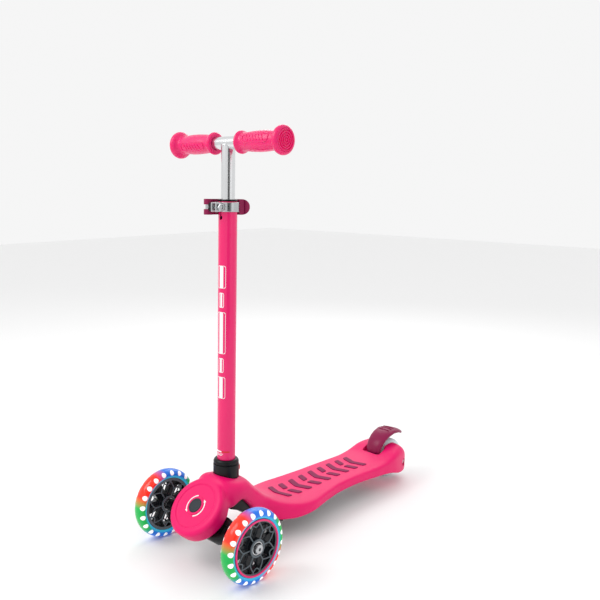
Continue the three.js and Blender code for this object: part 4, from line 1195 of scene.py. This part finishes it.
    def foot_pattern(self, body: bpy.types.Object) -> None:
        """Raised chevrons and short bars that give the foot a hold."""
        bm = bmesh.new()
        bm.from_mesh(body.data)
        tree = BVHTree.FromBMesh(bm)
        bm.free()
        shapes = []
        first, pitch = -161, 27
        wide, deep, band = 26, 9, 11.5
        for k in range(9):
            x = first - k * pitch
            if k % 2 == 0:
                corners = [(x, 0), (x - deep, wide), (x - deep - band, wide), (x - band, 0),
                           (x - deep - band, -wide), (x - deep, -wide)]
                shapes.append(rounded(corners, [4, 3, 3, 3, 3, 3], 4))
            else:
                for side in (-1, 1):
                    corners = [(x - 1.5, side * 4), (x - deep, side * wide), (x - deep - band, side * wide),
                               (x - band - 1.5, side * 4)]
                    shapes.append(rounded(corners, [3] * 4, 4))
        parts = []
        for shape in shapes:
            part = prism(shape, -0.6, 1.15)
            for axis in range(2):
                for cut in range(*self.pattern_cuts):
                    spot, way = [0, 0, 0], [0, 0, 0]
                    spot[axis], way[axis] = cut, 1
                    bmesh.ops.bisect_plane(part, geom=[*part.verts, *part.edges, *part.faces],
                                           plane_co=spot, plane_no=way)
            for vert in part.verts:
                x, y = vert.co.x + CHASSIS.translation.x, vert.co.y
                hit = tree.ray_cast(Vector((x, y, 90)) * MM, Vector((0, 0, -1)))[0]
                vert.co.z += (hit.z if hit else 0.06) / MM
            rims = [e for e in part.edges if e.calc_face_angle(0) > 1.2 and e.verts[0].co.z > 55
                    and all(v.co.z * MM > 0.0 for v in e.verts)
                    and max(f.normal.z for f in e.link_faces) > 0.7]
            bmesh.ops.bevel(part, geom=rims, offset=0.45, segments=2, affect="EDGES", profile=0.5,
                            material=-1, clamp_overlap=True)
            parts.append(part)
        grip = as_object("foot_pattern", joined(parts), CHASSIS, 45)
        fit_out(grip, "chassis", "inlay_rubber", Look.INLAY, "grip_inlay")

    def face_marks(self) -> None:
        """Two white turning marks round the lock button, each a bent band with a head."""
        marks = []
        for start in (20, 200):
            inner = arc(16.6, start, start + 108, 22)
            outer = arc(18.7, start + 108, start, 22)
            a, b = math.radians(start + 108), math.radians(start + 126)
            head = [(15.2 * math.cos(a), 15.2 * math.sin(a)), (17.6 * math.cos(b), 17.6 * math.sin(b)),
                    (20.4 * math.cos(a), 20.4 * math.sin(a))]
            marks.append(prism([*inner, *head, *outer], -1.36, -0.95))
        mark = as_object("face_turn_marks", joined(marks), STEERING, 40)
        fit_out(mark, "chassis", "deck_plastic", Look.WHITE)

    def underside(self) -> None:
        """Black closing plate with its ribs."""
        xs = [-141 - 282 * k / 40 for k in range(41)]
        loops = []
        for x in xs:
            half = self.station(x)[0] - 4.9
            loops.append([Vector((x, y, z)) for y, z in ((half, self.plate), (half, self.plate + 3),
                                                         (-half, self.plate + 3), (-half, self.plate))])
        plate = lofted(loops)
        rims = [e for e in plate.edges if e.calc_face_angle(0) > 1.2]
        bmesh.ops.bevel(plate, geom=rims, offset=0.6, segments=2, affect="EDGES", profile=0.5,
                        material=-1, clamp_overlap=True)
        ribs = [moved(block((258, 3, 9), 0.4, 2), at(-282, y, self.plate + 7))
                for y in (-24, 0, 24)]
        beads = [moved(block((240, 4, 1.2), 0.5, 2), at(-282, y, self.plate - 0.2))
                 for y in (-14, 14)]
        plate = as_object("underside_plate", joined([plate, *ribs]), CHASSIS)
        for x, y in self.screws:
            carve(plate, turned(disc_section(2, 20, 60, 0.1), 32), CHASSIS @ at(x, y, 0))
        fit_out(plate, "chassis", "black_plastic", Look.BLACK, "deck_underside")
        bead = as_object("underside_beads", joined(beads), CHASSIS)
        fit_out(bead, "chassis", "black_plastic", Look.BLACK)
        for k, (x, y) in enumerate(self.screws):
            head = turned(rounded([(0, self.plate - 2), (3.6, self.plate - 2), (3.6, self.plate - 0.3),
                                   (1.5, self.plate - 0.3), (1.5, self.plate + 12), (0, self.plate + 12)],
                                  [0, 0.9, 0.2, 0, 0.3, 0], 4), 40)
            screw = as_object(f"deck_screw_steel_{k + 1}", head, CHASSIS @ at(x, y, 0))
            for turn in (0, 90):
                slot = moved(block((4, 0.8, 1.6), 0), at(0, 0, self.plate - 2))
                crossed = Matrix.Rotation(math.radians(turn), 4, "Z")
                carve(screw, slot, CHASSIS @ at(x, y, 0) @ crossed)
            fit_out(screw, "chassis", "steel", Look.STEEL, f"deck_screw_{k + 1}")

    def cover(self) -> None:
        """Black cover under the neck, from behind the axle beam to the deck."""
        rows = ((-34, 28, 80), (-45, 30, 76), (-62, 29, 66), (-72, 28, 59), (-85, 27, 49), (-100, 28, 38),
                (-112, 31, 34.5), (-128, 38, 31.5), (-138, 44, 31))
        loops = []
        for x, half, low in rows:
            high = self.station(x)[3] - 0.1
            shape = rounded([(half - 0.3, low), (half, high), (-half, high), (0.3 - half, low)],
                            [5, 0.6, 0.6, 5], 4)
            loops.append([Vector((x, y, z)) for y, z in shape])
        cover = as_object("neck_cover_moulding", lofted(loops), CHASSIS)
        carve(cover, turned(disc_section(20.3, 80.2, 200, 0.2), 64), STEM)
        fit_out(cover, "chassis", "black_plastic", Look.BLACK, "neck_cover")

    def small_parts(self) -> None:
        """Axle bolt and nut of the rear wheel."""
        axle = CHASSIS @ at(self.axle_x, 0, self.wheel_radius) @ TO_LEFT
        seat = 35.3
        bolt = turned(rounded([(0, -seat - 3.7), (4, -seat - 3.7), (4, seat), (7.4, seat),
                               (7.4, seat + 3.5), (0, seat + 3.5)], [0, 0.4, 0, 0.2, 1.2, 0], 4), 64)
        bolt = as_object("rear_axle_bolt_steel", bolt, axle)
        carve(bolt, prism(hexagon(2.9), seat + 1.1, seat + 6), axle)
        fit_out(bolt, "chassis", "steel", Look.STEEL, "rear_axle_bolt")
        nut = prism(hexagon(7.4), -seat - 4.1, -seat, 0.5)
        nut = as_object("rear_axle_nut_steel", nut, axle)
        carve(nut, turned(disc_section(4.3, -60, -30, 0.1), 40), axle)
        fit_out(nut, "chassis", "steel", Look.STEEL, "rear_axle_nut")


# ---- steering -----------------------------------------------------------------------------
@dataclass
class Steering:
    """Lock button, pivot and the ribbed axle beam behind the round front."""

    axle_u: float = 10.6066
    axle_w: float = -41.7193
    half: float = 93.3

    def build(self) -> None:
        """Builds the beam, the button and the pivot bolt."""
        self.button()
        self.beam()
        section = rounded([(0, -62), (7.5, -62), (7.5, -57), (4, -57), (4, -4.8), (0, -4.8)],
                          [0, 1.2, 0.3, 0, 0.4, 0], 4)
        bolt = as_object("pivot_bolt_steel", turned(section, 64), STEERING)
        carve(bolt, prism(hexagon(3.4), -66, -60), STEERING)
        fit_out(bolt, "chassis", "steel", Look.STEEL, "pivot_bolt")

    def button(self) -> None:
        """Round button with a soft crown and a fine rim."""
        section = rounded([(9, -6.5), (12, -6.5), (12, 1.2), (9.6, 1.2), (8.8, 0.7), (0, 1.3),
                           (0, -1.2), (9, -1.2)], [0, 0.4, 1.2, 0.5, 0.5, 0, 0, 0.3], 4)
        button = as_object("lock_button_cap", turned(section, 80), STEERING)
        fit_out(button, "lock", "grey_plastic", Look.GREY, "lock_button")

    def beam(self) -> None:
        """Beam that swells round the pivot hub, with crossing ribs on its face."""
        arms = ((0.46, 22, 13), (0.56, 18.5, 12.5), (0.68, 13.5, 11.5), (0.8, 11.3, 10.8),
                (0.9, 10.5, 10.4), (1, 9.5, 9.5))
        rows = [*((-t, a, b) for t, a, b in reversed(arms)), *arms]
        loops = []
        for t, a, b in rows:
            shape = rounded([(a, b), (-a, b), (-a, -b), (a, -b)], [0.75 * b] * 4, 5)
            loops.append([Vector((self.axle_u + u, t * self.half, self.axle_w + w)) for u, w in shape])
        beam = as_object("axle_beam_moulding", lofted(loops), STEERING)
        for section in (disc_section(34, -30.4, -15.1, 1.2), disc_section(20, self.axle_w, -29, 0.5),
                        disc_section(13, -56.7, self.axle_w, 1)):
            merge(beam, turned(section, 96), STEERING)
        for side in (-1, 1):
            for t in (0.46, 0.555, 0.65, 0.745, 0.84):
                reach = 17 if t < 0.6 else 11
                pocket = block((reach, 0.07 * self.half, 14), 1.2)
                spot = at(self.axle_u, side * t * self.half, self.axle_w + 14.6)
                carve(beam, moved(pocket, spot), STEERING)
            end = STEERING @ at(self.axle_u, 0, self.axle_w) @ (TO_LEFT if side > 0 else TO_RIGHT)
            carve(beam, turned(disc_section(4.3, self.half - 40, self.half + 30, 0.2), 40), end)
        carve(beam, turned(disc_section(7.5, -80, -5, 0.2), 56), STEERING)
        carve(beam, turned(ring_section(12.6, 8.2, -17.2, -5, 0.2), 72), STEERING)
        fit_out(beam, "steering", "black_plastic", Look.BLACK, "axle_beam")


# ---- wheels -------------------------------------------------------------------------------
@dataclass
class Wheel:
    """What every wheel has: hub, ribs, rim, tyre and bearings, about its own axle."""

    name: str
    body: str
    place: Matrix
    radius: float
    tyre_deep: float
    width: float = 24
    forks: int = 6
    fork_at: float = 27

    def tread(self, inner: float) -> list[Point2]:
        """Section of the tyre's outside, from one inner edge to the other."""
        half, r = self.width / 2, self.radius
        side = [(inner, half - 1.9), (inner + 0.7, half - 1.1), (inner + 2.2, half - 0.5),
                (inner + 4.5, half - 0.1), (r - 6.2, half - 0.2), (r - 4.4, half - 1.1),
                (r - 2.8, half - 2.6), (r - 1.5, half - 4.6),
                (r - 0.6, half - 7.2), (r - 0.1, half - 10)]
        return [*((a, -z) for a, z in side), (r, 0), *reversed(side)]

    def core(self, hub: float) -> None:
        """Dark web and rim with raised ribs that fork towards the rim; ribs and rim bands get a lighter grey
        as painted highlight.
        """
        half = self.width / 2
        rim = self.radius - self.tyre_deep
        bore = 11.3
        side = [(9, 4.5), (bore, 4.5), (bore, half), (hub, half), (hub, 3.4), (rim - 4.6, 3.4),
                (rim - 4.6, half - 2), (rim, half - 2)]
        section = rounded([*((a, -z) for a, z in side), *reversed(side)],
                          [0.2, 0.2, 0.3, 0.6, 1, 1, 0.8, 0.2, 0.2, 0.8, 1, 1, 0.6, 0.3, 0.2, 0.2], 3)
        core = as_object(f"{self.name}_core_moulding", turned(section, 120), self.place)
        windows = []
        for k in range(self.forks):
            turn = Matrix.Rotation(2 * math.pi * (k + 0.5) / self.forks, 4, "Z")
            near, far = hub + 3.5, rim - 8
            if far - near < 6:
                continue
            wide = math.radians(360 / self.forks * 0.25)
            shape = [(near, -0.6), (near, 0.6), (far, far * math.sin(wide)), (far, -far * math.sin(wide))]
            windows.append(moved(prism(rounded(shape, [0.4, 0.4, 4, 4], 4), -6, 6), turn))
        if windows:
            carve(core, joined(windows), self.place)
        fit_out(core, self.body, "grey_plastic", Look.CORE, f"{self.name}_core")
        lines = []
        for face in (-1, 1):
            high = face * (half - 3.1)
            for k in range(self.forks):
                a = 2 * math.pi * k / self.forks
                reach = math.pi / self.forks
                spoke = (hub - 0.6, (hub + self.fork_at) / 2, self.fork_at)
                lines.append([self.polar(r, a, high) for r in spoke])
                for way in (-1, 1):
                    curve = []
                    for s in range(9):
                        t = s / 8
                        swing = way * reach * (0.62 * math.sin(t * math.pi / 2) + 0.2 * t ** 3)
                        out = self.fork_at + (rim - 2.6 - self.fork_at) * t
                        curve.append(self.polar(out, a + swing, high))
                    lines.append(curve)
                    loop = []
                    for s in range(9):
                        t = s / 8
                        angle = a + way * reach * (0.55 + 0.45 * t)
                        loop.append(self.polar(rim - 3 - 9 * math.sin(t * math.pi / 2), angle, high * 0.96))
                    if self.radius > 50:
                        lines.append(loop)
        # The ribs' lighter grey is painted highlight.
        ribs = as_object(f"{self.name}_ribs", wires(lines, 1.05, sides=3), self.place, 60)
        fit_out(ribs, self.body, "grey_plastic", Look.CORE_PAINTED_HIGHLIGHT)
        bands = []
        for face in (-1, 1):
            low, high = sorted((face * (half - 3.4), face * (half - 1.4)))
            bands.append(turned(ring_section(rim - 0.2, rim - 4.9, low, high, 0.7), 120))
            low, high = sorted((face * (half - 2), face * (half + 0.05)))
            bands.append(turned(ring_section(hub + 0.1, bore + 0.1, low, high, 0.5), 96))
        # The rim and hub bands' lighter grey is painted highlight.
        band = as_object(f"{self.name}_rim_band", joined(bands), self.place)
        fit_out(band, self.body, "grey_plastic", Look.CORE_PAINTED_HIGHLIGHT)

    @staticmethod
    def polar(radius: float, angle: float, height: float) -> Vector:
        """A point given by radius and angle in radians."""
        return Vector((radius * math.cos(angle), radius * math.sin(angle), height))

    def bearings(self, names: Sequence[str]) -> None:
        """Two bearings, each with its rings and its seal."""
        half = self.width / 2
        for name, middle in zip(names, (half - 3.9, 3.9 - half)):
            rings = [turned(ring_section(11, 9, middle - 3.5, middle + 3.5, 0.4), 72),
                     turned(ring_section(6.4, 4.3, middle - 3.5, middle + 3.5, 0.4), 72)]
            piece = as_object(f"{name}_rings", joined(rings), self.place)
            fit_out(piece, self.body, "steel", Look.STEEL, name)
            seal = turned(ring_section(9.1, 6.3, middle - 2.9, middle + 2.9, 0.3), 72)
            seal = as_object(f"{name}_seal", seal, self.place)
            fit_out(seal, self.body, "steel", Look.RUBBER)


@dataclass
class FrontWheel(Wheel):
    """Front wheel with its light ring, pink trim and axle bolt."""

    def build(self) -> None:
        """Builds the wheel and its bolt, which stays with the axle beam."""
        half = self.width / 2
        rim = self.radius - self.tyre_deep
        self.core(14.5)
        side = self.name.split("_")[0]
        inner = rim + 0.3
        groove = [(inner, 6.3), (inner + 5.1, 6.3), (inner + 5.1, -6.3), (inner, -6.3)]
        tyre = as_object(f"{side}_tyre_clear", turned([*self.tread(inner), *groove], 144), self.place)
        low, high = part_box(f"{side}_tyre")
        centre = (low + high) / 2
        glow = LitTyreFinish(f"{side}_tyre_glow", centre)
        fit_out(tyre, self.body, "clear_tyre", glow, f"{side}_tyre")
        strip = turned(ring_section(inner + 4.8, inner, -6, 6, 0.4), 96)
        strip = as_object(f"{side}_light_strip", strip, self.place)
        fit_out(strip, self.body, "light_strip", Look.WHITE, f"{side}_led_ring")
        trim = turned(ring_section(rim - 0.3, rim - 3.4, half - 1.9, half + 0.3, 0.8), 120)
        trim = as_object(f"{side}_trim_pink", trim, self.place)
        fit_out(trim, self.body, "trim_plastic", Look.TRIM, f"{side}_trim_ring")
        self.bearings((f"{side}_bearing_outer", f"{side}_bearing_inner"))
        section = rounded([(0, -half - 28), (4, -half - 28), (4, half + 0.4), (7.4, half + 0.4),
                           (7.4, half + 4.5), (0, half + 4.6)], [0, 0.4, 0, 0.3, 1.6, 0], 4)
        bolt = as_object(f"{side}_axle_bolt_steel", turned(section, 72), self.place)
        carve(bolt, prism(hexagon(2.9), half + 1.6, half + 6), self.place)
        fit_out(bolt, "steering", "steel", Look.STEEL, f"{side}_axle_bolt")


@dataclass
class RearWheel(Wheel):
    """Small rear wheel between the tail's two prongs."""

    def build(self) -> None:
        """Builds the wheel."""
        self.core(14.5)
        inner = self.radius - self.tyre_deep + 0.3
        tyre = as_object("rear_tyre_clear", turned(self.tread(inner), 128), self.place)
        fit_out(tyre, self.body, "clear_tyre", Look.CLEAR, "rear_tyre")
        self.bearings(("rear_bearing_left", "rear_bearing_right"))


# ---- brake --------------------------------------------------------------------------------
@dataclass
class Brake:
    """Foot brake: a curved fender with a pad over the rear wheel, on a hinge tube."""

    hinge: tuple[float, float] = (-450.5, 57)
    axle_x: float = -500
    press: float = 10
    sag: float = 4.2
    rows: tuple[tuple[float, ...], ...] = (
        # x from the rear axle, height, half width, thickness
        (53, 63, 15.8, 4.2), (50.8, 71, 16.8, 4.8), (47.2, 79.5, 17.8, 5), (41.5, 87.5, 18.8, 5),
        (33, 94.5, 19.8, 5), (21, 100.6, 20.8, 5), (4, 104.8, 21.6, 5), (-14, 102.8, 21, 4.6),
        (-29, 97.2, 17.8, 4.2), (-37, 92.6, 12.6, 3.8), (-39.8, 91, 8.6, 3.2))

    def build(self) -> None:
        """Builds the fender with its ribs, hinge tube and pad."""
        loops = []
        widest = math.radians(64)
        last = len(self.rows) - 1
        for i, (dx, z, half, thick) in enumerate(self.rows):
            ahead, behind = self.rows[max(i - 1, 0)], self.rows[min(i + 1, last)]
            along = Vector((behind[0] - ahead[0], behind[1] - ahead[1])).normalized()
            out = Vector((along.y, -along.x))
            angles = [math.radians(a) for a in range(-64, 65, 16)]
            ring = [(half * math.sin(a) / math.sin(widest),
                     self.sag * (math.cos(a) - 1) / (1 - math.cos(widest))) for a in angles]
            under = [(y * 0.93, sag - thick) for y, sag in reversed(ring)]
            shape = [*ring, *under]
            loops.append([Vector((self.axle_x + dx + out.x * h, y, z + out.y * h)) for y, h in shape])
        fender = as_object("brake_fender_moulding", lofted(loops), CHASSIS)
        edges = fender.modifiers.new("rims", "BEVEL")
        edges.width = 1.3 * MM
        edges.segments = 3
        edges.limit_method = "ANGLE"
        edges.angle_limit = math.radians(50)
        settle(fender)
        hx, hz = self.hinge
        turn = math.radians(self.press)
        dx, dz = self.axle_x - hx, 40 - hz
        centre = (hx + dx * math.cos(turn) + dz * math.sin(turn),
                  hz - dx * math.sin(turn) + dz * math.cos(turn))
        pin = CHASSIS @ at(hx, 0, hz) @ TO_LEFT
        pad = moved(block((26, 14, 18), 1.2), at(self.axle_x + 1, 0, 92.4))
        pad = as_object("pad", pad, CHASSIS)
        carve(pad, turned(disc_section(40.6, -20, 20, 0.1), 128),
              CHASSIS @ at(centre[0], 0, centre[1]) @ TO_LEFT)
        combine(fender, pad)
        merge(fender, moved(block((4.4, 9.4, 11.6), 0.3), at(hx - 0.4, -1.4, hz + 7.3)), CHASSIS)
        merge(fender, turned(disc_section(5, -13, 6.5, 0.6), 48), pin)
        carve(fender, turned(disc_section(2.3, -30, 30, 0.1), 40), pin)
        fit_out(fender, "brake", "lever_plastic", Look.BURGUNDY, "brake_fender")
        self.tread_ribs()

    def tread_ribs(self) -> None:
        """Three low ribs across the fender where the heel presses."""
        lines = []
        for dx, z, half in ((12, 103.4, 12), (4, 104.9, 12.6), (-4, 104.7, 12.6)):
            line = []
            for k in range(-6, 7):
                y = half * k / 6
                drop = self.sag * (1 - math.sqrt(max(0.0, 1 - (y / 26) ** 2)))
                line.append(Vector((self.axle_x + dx, y, z - drop - 0.15)))
            lines.append(line)
        ribs = as_object("brake_ribs", wires(lines, 0.7), CHASSIS, 60)
        fit_out(ribs, "brake", "lever_plastic", Look.BURGUNDY)


# ---- the parts that stay as they are --------------------------------------------------------
@dataclass
class KeptParts:
    """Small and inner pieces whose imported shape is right: they only get a finish."""

    finishes: dict[str, Finish] = field(default_factory=lambda: {
        "upper_guide_bush": Look.BLACK, "stem_end_plug": Look.BLACK, "cam_washer": Look.BLACK,
        "pivot_nut": Look.STEEL, "lock_pin": Look.STEEL, "centring_bush_front": Look.RUBBER,
        "centring_bush_rear": Look.RUBBER, "left_spacer": Look.STEEL, "right_spacer": Look.STEEL,
        "rear_spacer_left": Look.STEEL, "rear_spacer_right": Look.STEEL, "brake_pin": Look.STEEL,
        "brake_spring": Look.STEEL})

    def dress(self) -> None:
        """Gives each kept piece its finish."""
        for name, finish in self.finishes.items():
            piece = frame["nodes"][name]
            piece.data.materials.clear()
            piece.data.materials.append(finish.material())
            log.info("%s keeps its shape", name)


def main() -> None:
    """Builds the studio and every sub-assembly in order."""
    logging.basicConfig(level=logging.INFO, format="%(name)s: %(message)s")
    Studio().build()
    Handlebar().build()
    Stem().build()
    Clamp().build()
    Collar().build()
    Deck().build()
    Steering().build()
    for side, way, turn in (("left", 1, TO_LEFT), ("right", -1, TO_RIGHT)):
        place = CHASSIS @ at(0, way * 110, 60) @ turn
        FrontWheel(f"{side}_wheel", f"{side}_wheel", place, 60, 14).build()
    rear = CHASSIS @ at(-500, 0, 40) @ TO_LEFT
    RearWheel("rear_wheel", "rear_wheel", rear, 40, 12, fork_at=20).build()
    Brake().build()
    KeptParts().dress()


if __name__ == "__main__":
    main()
